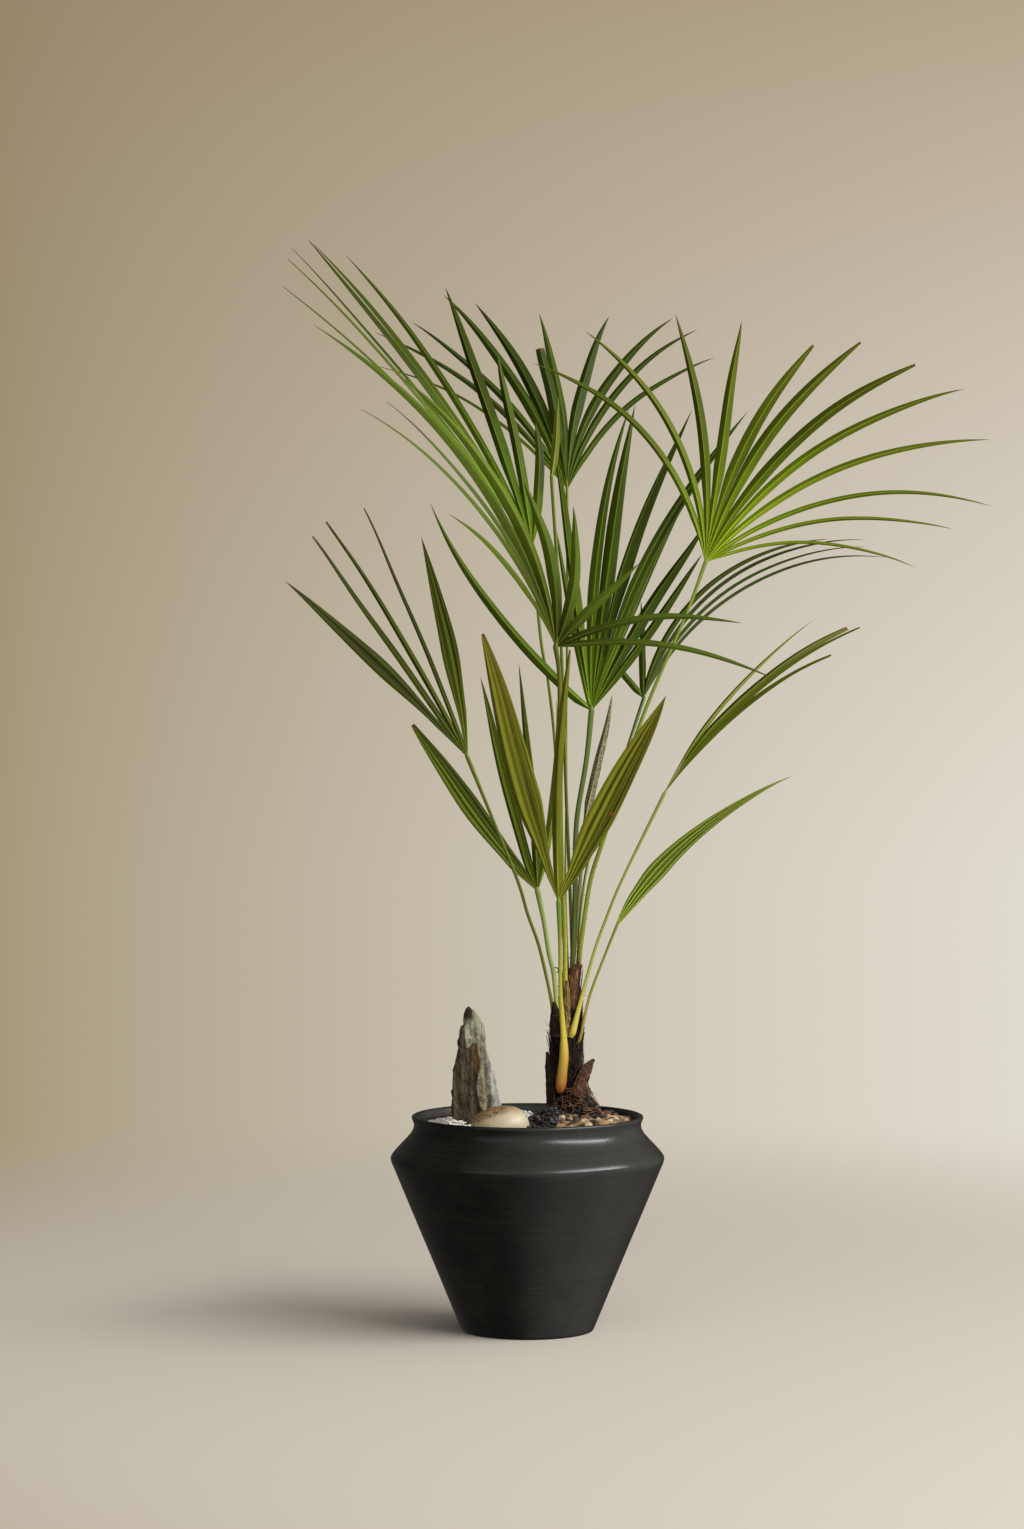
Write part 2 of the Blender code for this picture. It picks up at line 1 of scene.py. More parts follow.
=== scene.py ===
import math
import random
from collections import namedtuple

import bmesh
import bpy
from mathutils import Euler, Matrix, Vector, noise
from mathutils.bvhtree import BVHTree


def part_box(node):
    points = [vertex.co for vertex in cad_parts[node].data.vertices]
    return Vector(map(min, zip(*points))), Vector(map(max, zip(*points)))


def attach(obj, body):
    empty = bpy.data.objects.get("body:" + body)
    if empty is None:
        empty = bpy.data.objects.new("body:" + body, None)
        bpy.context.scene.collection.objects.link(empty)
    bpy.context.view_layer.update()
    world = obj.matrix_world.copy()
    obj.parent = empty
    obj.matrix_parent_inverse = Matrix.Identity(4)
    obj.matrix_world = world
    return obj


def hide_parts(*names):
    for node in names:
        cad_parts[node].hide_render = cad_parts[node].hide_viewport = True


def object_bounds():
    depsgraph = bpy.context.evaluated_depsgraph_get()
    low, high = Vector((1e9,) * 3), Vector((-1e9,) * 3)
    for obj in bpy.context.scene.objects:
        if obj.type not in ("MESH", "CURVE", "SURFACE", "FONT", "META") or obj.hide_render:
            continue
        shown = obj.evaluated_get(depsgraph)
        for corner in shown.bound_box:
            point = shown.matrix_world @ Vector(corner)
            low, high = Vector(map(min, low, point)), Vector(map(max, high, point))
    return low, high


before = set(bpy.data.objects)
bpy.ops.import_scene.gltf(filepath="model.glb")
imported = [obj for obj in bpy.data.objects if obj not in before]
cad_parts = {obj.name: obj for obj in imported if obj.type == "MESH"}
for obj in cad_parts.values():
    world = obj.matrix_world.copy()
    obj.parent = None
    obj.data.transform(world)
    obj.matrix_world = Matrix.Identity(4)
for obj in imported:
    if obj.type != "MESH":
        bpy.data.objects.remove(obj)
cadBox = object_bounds()

mm = 0.001
anyTurn = 6.3  # radians, the range of a random turn


def selectOnly(*things):
    bpy.ops.object.select_all(action="DESELECT")
    for thing in things:
        thing.select_set(True)
    if things:
        bpy.context.view_layer.objects.active = things[-1]


def newThing(name, data):
    thing = bpy.data.objects.new(name, data)
    bpy.context.collection.objects.link(thing)
    return thing


def joined(things):
    selectOnly(*things)
    bpy.ops.object.join()
    return bpy.context.object


def applyModifiers(thing):
    selectOnly(thing)
    for modifier in list(thing.modifiers):
        bpy.ops.object.modifier_apply(modifier=modifier.name)


def thicken(sheet, thickness):
    # gives a sheet its wall, half of it on either side
    wall = sheet.modifiers.new("thickness", "SOLIDIFY")
    wall.thickness = thickness * mm
    wall.offset = 0
    applyModifiers(sheet)


def inEditMode(thing, *steps):
    # each step is an operator and its settings, run on everything selected
    selectOnly(thing)
    bpy.ops.object.mode_set(mode="EDIT")
    bpy.ops.mesh.select_all(action="SELECT")
    for operator, settings in steps:
        operator(**settings)
    bpy.ops.object.mode_set(mode="OBJECT")


def weld(thing, reach):
    # merges corners that lie within this reach and turns the faces outwards
    merge = (bpy.ops.mesh.remove_doubles, {"threshold": reach * mm})
    inEditMode(thing, merge, (bpy.ops.mesh.normals_make_consistent, {}))


def cutUpright(mesh, cuts):
    # cuts the upright edges of a cube or cylinder that is one unit tall
    upright = [e for e in mesh.edges if abs(e.verts[0].co.z - e.verts[1].co.z) > 0.5]
    bmesh.ops.subdivide_edges(mesh, edges=upright, cuts=cuts)


def wearPaint(thing, paint):
    thing.data.materials.clear()
    thing.data.materials.append(paint.material)


def finishPiece(piece, name, paint, nodes, smoothBelow):
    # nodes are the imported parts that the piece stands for, smoothBelow the sharpest smooth edge in degrees
    selectOnly(piece)
    bpy.ops.object.transform_apply(location=True, rotation=True, scale=True)
    bpy.ops.object.shade_smooth_by_angle(angle=math.radians(smoothBelow))
    piece.name = name
    wearPaint(piece, paint)
    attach(piece, "root")
    if nodes:
        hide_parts(*nodes)


def meshed(thing):
    selectOnly(thing)
    bpy.ops.object.convert(target="MESH")
    return bpy.context.object


def tubes(routes, resolution):
    # one mesh of round tubes, each along a list of (point, radius) in millimetres
    curve = bpy.data.curves.new("tubes", "CURVE")
    curve.dimensions = "3D"
    curve.bevel_depth = mm
    curve.bevel_resolution = resolution
    curve.use_fill_caps = True
    for route in routes:
        spline = curve.splines.new("POLY")
        spline.points.add(len(route) - 1)
        for place, (point, radius) in zip(spline.points, route):
            place.co = (*(Vector(point) * mm), 1)
            place.radius = radius
    return meshed(newThing("tubes", curve))


def smoothRoute(points, steps):
    # Catmull-Rom through rows of numbers: a place, and anything that varies along with it
    rows = [tuple(p) for p in points]
    before = tuple(2 * a - b for a, b in zip(rows[0], rows[1]))
    after = tuple(2 * a - b for a, b in zip(rows[-1], rows[-2]))
    rows = [before, *rows, after]
    route = []
    for a, b, c, d in zip(rows, rows[1:], rows[2:], rows[3:]):
        for t in (i / steps for i in range(steps)):
            route.append(tuple(
                q + 0.5 * (t * (r - p) + t * t * (2 * p - 5 * q + 4 * r - s) + t**3 * (3 * q - p - 3 * r + s))
                for p, q, r, s in zip(a, b, c, d)
            ))
    return [*route, rows[-2]]


def rgb(red, green, blue):
    # a display colour, 0 to 255, as the linear colour that shaders use
    parts = [c / 255 for c in (red, green, blue)]
    return tuple(c / 12.92 if c < 0.04 else ((c + 0.055) / 1.055) ** 2.4 for c in parts)


def arithmetic(operation, turned=False):
    # a method that adds one Math node, with its two values the other way round if turned
    def method(value, other):
        return value.nodes.maths(operation, *((other, value) if turned else (value, other)))
    return method


class Value:
    # one output of a node tree, so that sums on it read as sums
    def __init__(self, nodes, socket):
        self.nodes = nodes
        self.socket = socket

    __add__ = __radd__ = arithmetic("ADD")
    __sub__ = arithmetic("SUBTRACT")
    __rsub__ = arithmetic("SUBTRACT", turned=True)
    __mul__ = __rmul__ = arithmetic("MULTIPLY")
    __truediv__ = arithmetic("DIVIDE")
    __pow__ = arithmetic("POWER")
    __mod__ = arithmetic("FLOORED_MODULO")

    def __abs__(self):
        return self.nodes.maths("ABSOLUTE", self)

    def wave(self):
        return self.nodes.maths("SINE", self * (2 * math.pi)) * 0.5 + 0.5

    def climb(self, low, high, blend="LINEAR"):
        # 0 below low, 1 above high, straight between
        inputs = {"Value": self, "From Min": low, "From Max": high}
        return self.nodes.node("ShaderNodeMapRange", {"interpolation_type": blend}, inputs)

    def rise(self, low, high):
        # 0 below low, 1 above high, smooth between
        return self.climb(low, high, "SMOOTHSTEP")


class Nodes:
    # a node tree that is written as expressions
    def __init__(self, tree):
        self.tree = tree

    def feed(self, socket, value):
        if isinstance(value, Value):
            self.tree.links.new(value.socket, socket)
        elif isinstance(value, tuple) and socket.type == "RGBA":
            socket.default_value = (*value[:3], 1)
        else:
            socket.default_value = value

    def node(self, kind, settings=None, inputs=None, output=0):
        made = self.tree.nodes.new(kind)
        for key, setting in (settings or {}).items():
            if key == "stops":
                for i, (place, colour) in enumerate(setting):
                    stops = made.color_ramp.elements
                    stop = stops[i] if i < 2 else stops.new(place)
                    stop.position, stop.color = place, (*colour, 1)
            else:
                setattr(made, key, setting)
        for key, value in (inputs or {}).items():
            self.feed(made.inputs[key], value)
        return Value(self, made.outputs[output])

    def maths(self, operation, *values):
        return self.node("ShaderNodeMath", {"operation": operation}, dict(enumerate(values)))

    def mix(self, factor, first, second, blend="MIX"):
        settings = {"data_type": "RGBA", "blend_type": blend}
        return self.node("ShaderNodeMix", settings, {0: factor, 6: first, 7: second}, 2)

    def coats(self, colour, *coats):
        # a colour under coats of paint, each with how much it covers and its own colour
        for cover, coat in coats:
            colour = self.mix(cover, colour, coat)
        return colour

    def combine(self, *values, kind="ShaderNodeCombineXYZ"):
        return self.node(kind, {}, dict(enumerate(values)))

    def split(self, vector):
        made = self.node("ShaderNodeSeparateXYZ", {}, {0: vector})
        outputs = made.socket.node.outputs
        return [Value(self, outputs[i]) for i in range(3)]

    def place(self, stretch=(1, 1, 1), turn=(0, 0, 0)):
        # the object's own coordinates, in millimetres, stretched and turned
        spot = self.node("ShaderNodeTexCoord", {}, {}, "Object")
        scale = tuple(s / mm for s in stretch)
        return self.node("ShaderNodeMapping", {}, {"Vector": spot, "Scale": scale, "Rotation": turn})

    def noise(self, vector, scale, detail, roughness=0.5):
        inputs = {"Vector": vector, "Scale": scale, "Detail": detail, "Roughness": roughness}
        return self.node("ShaderNodeTexNoise", {}, inputs)

    def cells(self, vector, scale):
        # the distance to the middle of the nearest cell
        return self.node("ShaderNodeTexVoronoi", {}, {"Vector": vector, "Scale": scale}, "Distance")

    def ramp(self, value, stops):
        return self.node("ShaderNodeValToRGB", {"stops": stops}, {0: value})

    def attribute(self, name):
        return self.node("ShaderNodeAttribute", {"attribute_name": name}, {}, "Fac")


class Paint(Nodes):
    # a material: its Principled shader takes plain values by name, and a bump
    def __init__(self, name, **values):
        self.material = bpy.data.materials.new(name)
        self.material.use_nodes = True
        super().__init__(self.material.node_tree)
        self.shader = self.tree.nodes["Principled BSDF"]
        self.wear(**values)

    def wear(self, **values):
        for name, value in values.items():
            self.feed(self.shader.inputs[name.replace("_", " ")], value)

    def bump(self, height, depth, strength):
        inputs = {"Height": height, "Distance": depth * mm, "Strength": strength}
        self.wear(Normal=self.node("ShaderNodeBump", {}, inputs))


selectOnly()
print("frame loaded and tools ready")

# Camera, floor and light

# In metres and degrees
camera = {"aside": -0.0124, "away": 3.0, "height": 0.5, "pitch": 0.9, "lens": 88.29}
studio = {
    "floorSize": 24,
    "floorColour": rgb(205, 200, 191),
    "fadeFrom": 0.35,
    "fadeTo": 1.6,
    # how far the wall's shading reaches, as parts of a ray's direction, and its colours at the corners
    "wallAcross": (-0.135, 0.135),
    "wallUp": (-0.05, 0.184),
    "lowLeft": rgb(166, 153, 122),
    "lowRight": rgb(224, 219, 207),
    "highLeft": rgb(150, 131, 104),
    "highRight": rgb(180, 164, 138),
    # light from the room: dim on the side away from the window, bright towards it
    "window": (0.8, -0.52, 0.3),
    "dim": 0.08,
    "bright": 1.05,
    "roomColour": (1.0, 0.94, 0.85),
}
lamps = {
    "window": {"place": (2.0, -1.15, 1.7), "size": (3.0, 0.7), "power": 76, "colour": (1.0, 0.98, 0.95)},
    "room": {"place": (-1.6, -2.6, 1.2), "size": (2.2, 2.2), "power": 5, "colour": (1.0, 0.98, 0.95)},
}


def makeCamera():
    place = (camera["aside"], -camera["away"], camera["height"])
    bpy.ops.object.camera_add(location=place, rotation=(math.radians(90 - camera["pitch"]), 0, 0))
    eye = bpy.context.object
    eye.data.lens = camera["lens"]
    eye.data.sensor_width = 36
    bpy.context.scene.camera = eye


def wallColour(nodes, x, z):
    # what the camera sees behind the plant: a wall that darkens to the left and to the top
    across = x.climb(*studio["wallAcross"])
    up = z.climb(*studio["wallUp"])
    low = nodes.mix(across**0.85, studio["lowLeft"], studio["lowRight"])
    high = nodes.mix(across**0.7, studio["highLeft"], studio["highRight"])
    return nodes.mix(up**1.3, low, high)


def makeWorld():
    world = bpy.data.worlds.new("studio")
    bpy.context.scene.world = world
    world.use_nodes = True
    nodes = Nodes(world.node_tree)
    x, y, z = nodes.split(nodes.node("ShaderNodeTexCoord", {}, {}, "Generated"))
    facing = studio["window"]
    towards = x * facing[0] + y * facing[1] + z * facing[2]
    light = towards.rise(-0.3, 1.0) * (studio["bright"] - studio["dim"]) + studio["dim"]
    seen = nodes.node("ShaderNodeLightPath", {}, {}, "Is Camera Ray")
    base = world.node_tree.nodes["Background"]
    nodes.feed(base.inputs["Color"], nodes.mix(seen, studio["roomColour"], wallColour(nodes, x, z)))
    nodes.feed(base.inputs["Strength"], nodes.maths("MAXIMUM", seen, light))


def makeFloor():
    bpy.ops.mesh.primitive_plane_add(size=studio["floorSize"])
    floor = bpy.context.object
    floor.name = "floor"
    paint = Paint("floorPaint", Base_Color=studio["floorColour"], Roughness=0.9, Specular_IOR_Level=0.2)
    x, y, _ = paint.split(paint.node("ShaderNodeTexCoord", {}, {}, "Object"))
    away = (x * x + y * y) ** 0.5
    clear = paint.node("ShaderNodeBsdfTransparent")
    near = Value(paint, paint.shader.outputs[0])
    far = away.rise(studio["fadeFrom"], studio["fadeTo"])
    both = paint.node("ShaderNodeMixShader", {}, {0: far, 1: near, 2: clear})
    paint.feed(paint.tree.nodes["Material Output"].inputs["Surface"], both)
    floor.data.materials.append(paint.material)
    floor.visible_glossy = False  # the dark glaze mirrors the dim room, not the pale floor


def makeLamps():
    middle = (cadBox[0] + cadBox[1]) / 2
    for name, lamp in lamps.items():
        place = Vector(lamp["place"])
        turn = (middle - place).to_track_quat("-Z", "Y").to_euler()
        bpy.ops.object.light_add(type="AREA", location=place, rotation=turn)
        light = bpy.context.object
        light.name = name
        light.data.shape = "RECTANGLE"
        light.data.size, light.data.size_y = lamp["size"]
        light.data.energy = lamp["power"]
        light.data.color = lamp["colour"]


makeCamera()
makeWorld()
makeFloor()
makeLamps()
bpy.context.scene.view_settings.view_transform = "Standard"
print("camera, floor and light in place")

# The pot

pot = {
    "sides": 128,
    "footInset": 12,
    # radius and height of each ring, from the foot up the outside, over the lip and down the inside
    "rings": [
        (51.6, 0), (52.8, 0.3), (53.6, 1.6), (54.2, 3), (75, 53.5), (97, 106), (105.4, 126.4), (108.4, 133.4),
        (109.2, 135.4), (109.6, 137.0), (109.6, 138.4), (109.0, 140.0), (107.6, 142), (105.4, 144.6),
        (101.5, 148.8), (97, 153.4), (93.6, 157.4),
        (91.6, 160.8), (91.0, 163.6), (91.2, 166), (92.1, 168.2), (92.8, 170), (92.6, 171.3), (91.6, 171.9),
        (90.2, 171.9), (88.9, 171.2), (88.0, 169.6), (87.2, 166.5), (86.8, 163), (88.4, 158), (96, 150),
        (100, 144), (102, 138), (98, 126), (50, 12), (46, 8), (40, 7.2),
    ],
    "bodyColour": rgb(11, 9, 7),
    "scuffColour": rgb(42, 40, 34),
}


def potPaint():
    paint = Paint("blackGlaze", Specular_IOR_Level=0.56, Specular_Tint=(0.88, 0.95, 1.0))
    place = paint.place()
    # the turning marks run round the pot, so they vary with height and only slowly round it
    drift = paint.noise(place, 0.02, 1)
    rings = paint.noise(paint.place((0.006, 0.006, 1)), 0.9, 4, 0.7)
    coarse = paint.noise(paint.place((0.003, 0.003, 1)), 0.16, 2, 0.6)
    grit = paint.noise(place, 1.1, 3, 0.7)
    pits = paint.cells(place, 0.45)
    patch = paint.noise(place, 0.035, 3, 0.6)
    cloud = patch * 0.5 + coarse * 0.5
    scuffs = cloud.rise(0.35, 0.75) * 0.4 + rings.rise(0.5, 0.75) * patch.rise(0.4, 0.65) * 0.6
    paint.wear(Base_Color=paint.mix(scuffs, pot["bodyColour"], pot["scuffColour"]))
    paint.wear(Roughness=0.12 + grit * 0.16 + rings * 0.12)
    height = rings * 0.5 + coarse * 0.8 + grit * 0.22 + pits.rise(0.0, 0.35) * 0.18 + drift * 0.2
    paint.bump(height, 0.35, 0.5)
    return paint


def makePot():
    # a disc whose rim is drawn up and in or out, one ring at a time
    (radius, height), *rest = pot["rings"]
    bpy.ops.mesh.primitive_circle_add(vertices=pot["sides"], radius=radius * mm, fill_type="NGON")
    vessel = bpy.context.object
    bpy.ops.object.mode_set(mode="EDIT")
    bpy.ops.mesh.select_all(action="SELECT")
    bpy.ops.mesh.inset(thickness=pot["footInset"] * mm)
    bpy.ops.mesh.select_all(action="SELECT")
    bpy.ops.mesh.region_to_loop()
    for nextRadius, nextHeight in rest:
        bpy.ops.mesh.extrude_edges_move(TRANSFORM_OT_translate={"value": (0, 0, (nextHeight - height) * mm)})
        grow = nextRadius / radius
        bpy.ops.transform.resize(value=(grow, grow, 1), center_override=(0, 0, nextHeight * mm))
        radius, height = nextRadius, nextHeight
    bpy.ops.mesh.edge_face_add()
    bpy.ops.mesh.select_all(action="SELECT")
    bpy.ops.mesh.normals_make_consistent(inside=False)
    bpy.ops.object.mode_set(mode="OBJECT")
    finishPiece(vessel, "pot_shell", potPaint(), ["pot"], 60)


makePot()
print("pot turned")

# Leaves: a stalk and a pleated fan each

# Lengths in millimetres, bearings in degrees from +X towards +Z. "route" runs up the stalk, each point
# with the stalk's radius there, and ends at the hub. Each of "lobes": bearing at the hub and at the tip,
# lean away from the front, length, width, and pleats if more than one. "tilt" is how far the fan goes back
# per unit of X and of Z, and "parting" how far from the hub its lobes part. "stalk" gives the stalk's
# colours from foot to top, and "blade" the fan's near the hub, further out, and in its light lines.
# plainLeaf explains the rest.
leaves = {
    "right_high": {
        "route": [
            (38, 0, 276, 1.8), (41, -1, 293.6, 2.2), (43, -6, 314, 2.5), (50, -14, 361, 2.5),
            (61, -22, 397, 2.4), (90, -34, 489, 2.1), (126, -39, 575, 1.9), (140, -40, 613, 2.3),
        ],
        "lobes": [
            (99, 163, 0, 220, 5.4), (91, 144, 0, 214, 5.8), (86, 108, 0, 198, 8), (82, 82, 0, 192, 9),
            (79, 49, 0, 192, 10), (73, 37, 0, 214, 10), (64, 23, 0, 230, 9), (57, 10, 0, 250, 7),
            (48, -2, 0, 250, 5.6), (39, -17, 0, 238, 3.9), (31, -17, 0, 202, 3.3), (23, -27, 0, 170, 2.6),
        ],
        "tilt": (-0.15, -0.10), "parting": 38, "ends": {4: 0.2, 5: 0.15, 6: 0.2}, "taper": 3.4,
        "stalk": [(134, 138, 48), (114, 128, 44), (108, 128, 42)],
        "blade": [(100, 124, 22), (64, 78, 12), (132, 146, 54)],
        "bright": (7, 8, 9, 10, 11), "aged": 0.08, "tips": 0.5, "teeth": (0.12, 0.75),
    },
    "centre": {
        "route": [
            (35, -3, 276, 2.2), (36, -4, 293.6, 2.6), (37, -8, 320, 2.6), (38, -9, 353, 2.5),
            (39, -8, 406, 2.4), (47, -6, 457, 2.4), (51, -5, 496, 2.7),
        ],
        "lobes": [
            (141, 115, 0, 212, 8), (103, 99, 6, 162, 5), (97, 99, 0, 224, 9), (93, 73, 0, 246, 9),
            (84, 80, 2, 250, 13), (80, 63, -2, 254, 14), (76, 49, -7, 270, 13, 2), (70, 61, 6, 230, 11),
            (62, 54, 3, 184, 11), (52, 57, -2, 154, 8),
        ],
        "tilt": (0.05, 0.05), "parting": 48,
        "stalk": [(74, 78, 24), (68, 80, 26), (80, 102, 32)],
        "blade": [(64, 86, 10), (50, 65, 8), (112, 136, 46)],
        "bright": (1, 2), "teeth": (0.1, 0.5),
    },
    "left_high": {
        "route": [
            (32, -1, 276, 1.4), (31, -1, 293.6, 1.4), (25, 7, 360, 1.4), (23, 12, 456, 1.5),
            (17, 16, 518, 1.5), (11, 18, 553, 1.6), (4, 20, 628, 1.8),
        ],
        "lobes": [
            (126, 142, -17, 288, 5), (125, 136, -12, 302, 6), (124, 134, -7, 310, 5),
            (121, 131, -2, 312, 10), (118, 133, 3, 316, 8), (113, 131, 8, 304, 6), (106, 111, 4, 234, 10),
            (97, 104, 2, 168, 8), (80, 96, 0, 104, 8),
        ],
        "tilt": (0.0, 0.2), "parting": 50, "ends": {0: 0.15, 1: 0.1, 3: 0.1}, "taper": 3.8,
        "stalk": [(129, 136, 52), (110, 129, 43), (120, 146, 43)],
        "blade": [(88, 122, 14), (47, 58, 9), (114, 132, 50)],
        "tips": 0.3,
    },
    "front": {
        "route": [
            (32, -9, 256, 1.7), (31, -11.2, 267, 1.9), (30, -14, 285, 1.9), (29.5, -24, 311, 1.9),
            (28, -40, 345, 1.9), (26, -60, 400, 1.9), (25, -82, 473, 1.8), (24, -106, 524, 1.8),
            (21, -120, 545, 2.1),
        ],
        "lobes": [
            (112, 146, -20, 150, 6), (109, 150, -14, 256, 6), (108, 142, -8, 240, 6),
            (105, 149, -2, 318, 10), (98, 143, 4, 250, 10), (85, 118, 6, 134, 10), (66, 101, 4, 112, 9),
            (49, 40, 0, 92, 8), (28, -14, -3, 148, 6), (10, -27, -6, 174, 5),
        ],
        "tilt": (0.0, -0.3), "parting": 32,
        "stalk": [(200, 190, 84), (142, 148, 56), (96, 108, 38)],
        "blade": [(50, 56, 12), (74, 92, 30), (104, 120, 56)],
        "shine": 0.4,
    },
    "low_front": {
        "route": [
            (25.6, -16.2, 191.6, 2.2), (26.1, -16.6, 194.5, 4.1), (26.6, -17, 200, 5.1),
            (27.7, -17.4, 210, 4.6), (28.8, -17.6, 220, 4.4), (28.8, -17.8, 229, 3.8),
            (28.6, -18, 237, 2.85), (27.3, -19.5, 254, 2.3), (26, -25, 273, 1.9), (25.5, -37, 311, 1.8),
            (24, -60, 346, 2.3),
        ],
        "lobes": [(107, 104, 0, 240, 21.5, 3), (93, 83, 0, 220, 8), (65, 62, 0, 198, 22, 4)],
        "tilt": (0.0, -0.5), "parting": 24, "ends": {0: 0.1, 1: 0.15}, "taper": 3.4, "widen": 0.34,
        "fold": 0.6,
        "stalk": [(150, 82, 44), (190, 172, 66), (98, 134, 54)],
        "blade": [(66, 76, 20), (55, 62, 10), (128, 134, 54)],
        "streaks": 0.9, "paintedLitSide": 0.1, "bands": 0.75, "aged": 0.2, "spots": 0.5,
        "blotches": [(65, 416, 3.2), (-11.4, 477, 1.6), (4.5, 447, 1.4), (22, 424, 1.4)],
        "teeth": (0.05, 0.62),
    },
    "low_left": {
        "route": [
            (24.5, -10, 246, 1.8), (23.5, -12.4, 256, 1.9), (21, -12.6, 285, 1.9), (17, -13, 303, 1.9),
            (13, -14, 328, 1.9), (8, -15, 352, 2.3),
        ],
        "lobes": [
            (130, 123, 4, 166, 18, 4), (107, 103, 0, 178, 10, 2), (92, 98, -6, 186, 7), (77, 92, 2, 154, 7),
        ],
        "tilt": (0.0, -0.1), "parting": 26, "ends": {0: 0.16}, "widen": 0.5, "fold": 0.65,
        "stalk": [(190, 190, 112), (156, 174, 122), (134, 152, 92)],
        "blade": [(56, 70, 17), (51, 62, 11), (114, 130, 50)],
        "streaks": 0.35, "paintedLitSide": 0.1, "bands": 0.5,
    },
    "left": {
        "route": [
            (22, -7.5, 243, 1.4), (20.4, -9.2, 253, 1.5), (17.6, -12, 272, 1.5), (9, -21, 309, 1.5),
            (0, -30, 335, 1.5), (-8, -38, 362, 1.5), (-28, -52, 412, 1.5), (-47, -60, 459, 2.0),
        ],
        "lobes": [
            (131, 141, 0, 202, 14.5, 2), (124, 126, 0, 214, 5.2), (117, 124, 0, 218, 4.8),
            (110, 115, 0, 214, 3.8), (97, 107, 0, 180, 16, 3),
        ],
        "tilt": (0.1, -0.2), "parting": 34, "ends": {1: 0.25, 2: 0.3, 3: 0.25}, "taper": 2.0, "widen": 0.45,
        "spread": 0.62, "fold": 0.6,
        "stalk": [(150, 148, 54), (104, 118, 42), (103, 117, 43)],
        "blade": [(47, 55, 13), (39, 43, 8), (92, 106, 38)],
        "bright": (4,), "streaks": 0.25, "bands": 0.35,
    },
    "low_right": {
        "route": [
            (38, -6, 228, 1.4), (42, -8.7, 235, 1.6), (46, -10, 254, 1.5), (51, -12, 273, 1.4),
            (61, -17, 300, 1.3), (71, -25, 326, 1.5),
        ],
        "lobes": [(60, 22, 0, 187, 18.5, 4)],
        "tilt": (0.0, -0.3), "parting": 24, "taper": 1.0, "fold": 1.15,
        "stalk": [(150, 116, 50), (140, 134, 60), (130, 132, 60)],
        "blade": [(76, 96, 34), (62, 80, 22), (152, 168, 104)],
        "shine": 2.6, "streaks": 0.45, "paintedLitSide": 0.34, "bands": 0.3,
    },
    "right_low": {
        "route": [
            (35, -12, 236, 2.4), (36.7, -14.1, 242, 2.8), (41, -13, 259, 2.0), (47.5, -9, 283, 1.5),
            (54, -4, 305, 1.4), (61.8, 2, 326, 1.3), (76, 10, 360, 1.2), (110, 25, 428, 1.5),
        ],
        "lobes": [
            (62, 34, 5, 210, 4), (57, 25.5, 3, 225, 9), (55, 24.5, 0, 229, 9), (54.2, 23.8, -4, 188, 11.5),
        ],
        "tilt": (0.25, 0.25), "parting": 8, "ends": {1: 0.42, 2: 0.42, 3: 0.38}, "widen": 0.3, "spread": 4,
        "stalk": [(196, 184, 92), (148, 152, 76), (112, 124, 58)],
        "blade": [(83, 96, 29), (66, 75, 18), (122, 131, 61)],
        "shine": 1.4, "paintedLitSide": 0.4, "bands": 0.4,
    },
    "right_back": {
        "route": [
            (37, 2, 276, 1.4), (40, 4, 293.6, 1.5), (43, 14, 337, 1.5), (50, 28, 377, 1.5),
            (63, 46, 409, 1.5), (81, 72, 462, 1.6), (96, 90, 506, 2.0),
        ],
        "lobes": [
            (132, 124, -3, 60, 6), (92, 89, 0, 82, 6), (79, 1, -9, 224, 4.5), (73, -2, -3, 253, 5),
            (68, 0, 3, 257, 4.8), (64, -4, 9, 284, 4.5),
        ],
        "tilt": (0.25, 0.2), "parting": 30,
        "stalk": [(144, 157, 60), (120, 139, 50), (83, 101, 35)],
        "blade": [(48, 61, 11), (45, 56, 10), (79, 94, 37)],
    },
    "top_back": {
        "route": [
            (34, 2, 276, 1.3), (32.5, 3, 293.6, 1.3), (31, 25, 357, 1.3), (32, 45, 435, 1.3),
            (32, 52, 483, 1.3), (33, 65, 586, 1.4), (33, 75, 677, 1.8),
        ],
        "lobes": [
            (127, 166, -4, 192, 4), (122, 158, 0, 214, 6), (117, 148, 0, 198, 6), (109, 135, 0, 202, 9),
            (102, 129, 2, 186, 10), (98, 103, -5, 122, 9), (91, 107, 4, 162, 10), (88, 65, 0, 158, 10),
            (83, 34, 0, 180, 8), (76, 27, 0, 184, 6), (67, 17, 0, 174, 5),
        ],
        "tilt": (0.0, 0.3), "parting": 40, "ends": {5: 0.8},
        "stalk": [(138, 144, 62), (120, 134, 52), (120, 138, 52)],
        "blade": [(62, 80, 14), (41, 55, 8), (86, 104, 40)],
        "tips": 0.2,
    },
    "dry": {
        "route": [(37, 4, 276, 1.3), (37, 5.5, 293.6, 1.5), (41, 22, 337, 1.5), (47, 55, 406, 1.5)],
        "lobes": [(77, 77, 0, 108, 7)],
        "tilt": (0.0, 0.2), "parting": 20,
        "stalk": [(96, 89, 52), (96, 89, 52), (89, 84, 50)],
        "blade": [(72, 74, 50), (64, 68, 46), (150, 150, 128)],
        "mottle": 0.65,
    },
    "spear": {
        "route": [
            (36, 1, 276, 1.4), (36, 1, 293.6, 1.5), (34, -1.5, 353, 1.5), (31, -8, 425, 1.5),
            (26, -14, 568, 1.4), (19, -20, 681, 1.6),
        ],
        "lobes": [(81, 90, 0, 64, 6)],
        "tilt": (0.0, -0.05), "parting": 16,
        "stalk": [(120, 129, 52), (103, 120, 47), (114, 129, 57)],
        "blade": [(101, 112, 56), (90, 101, 45), (142, 152, 95)],
    },
}
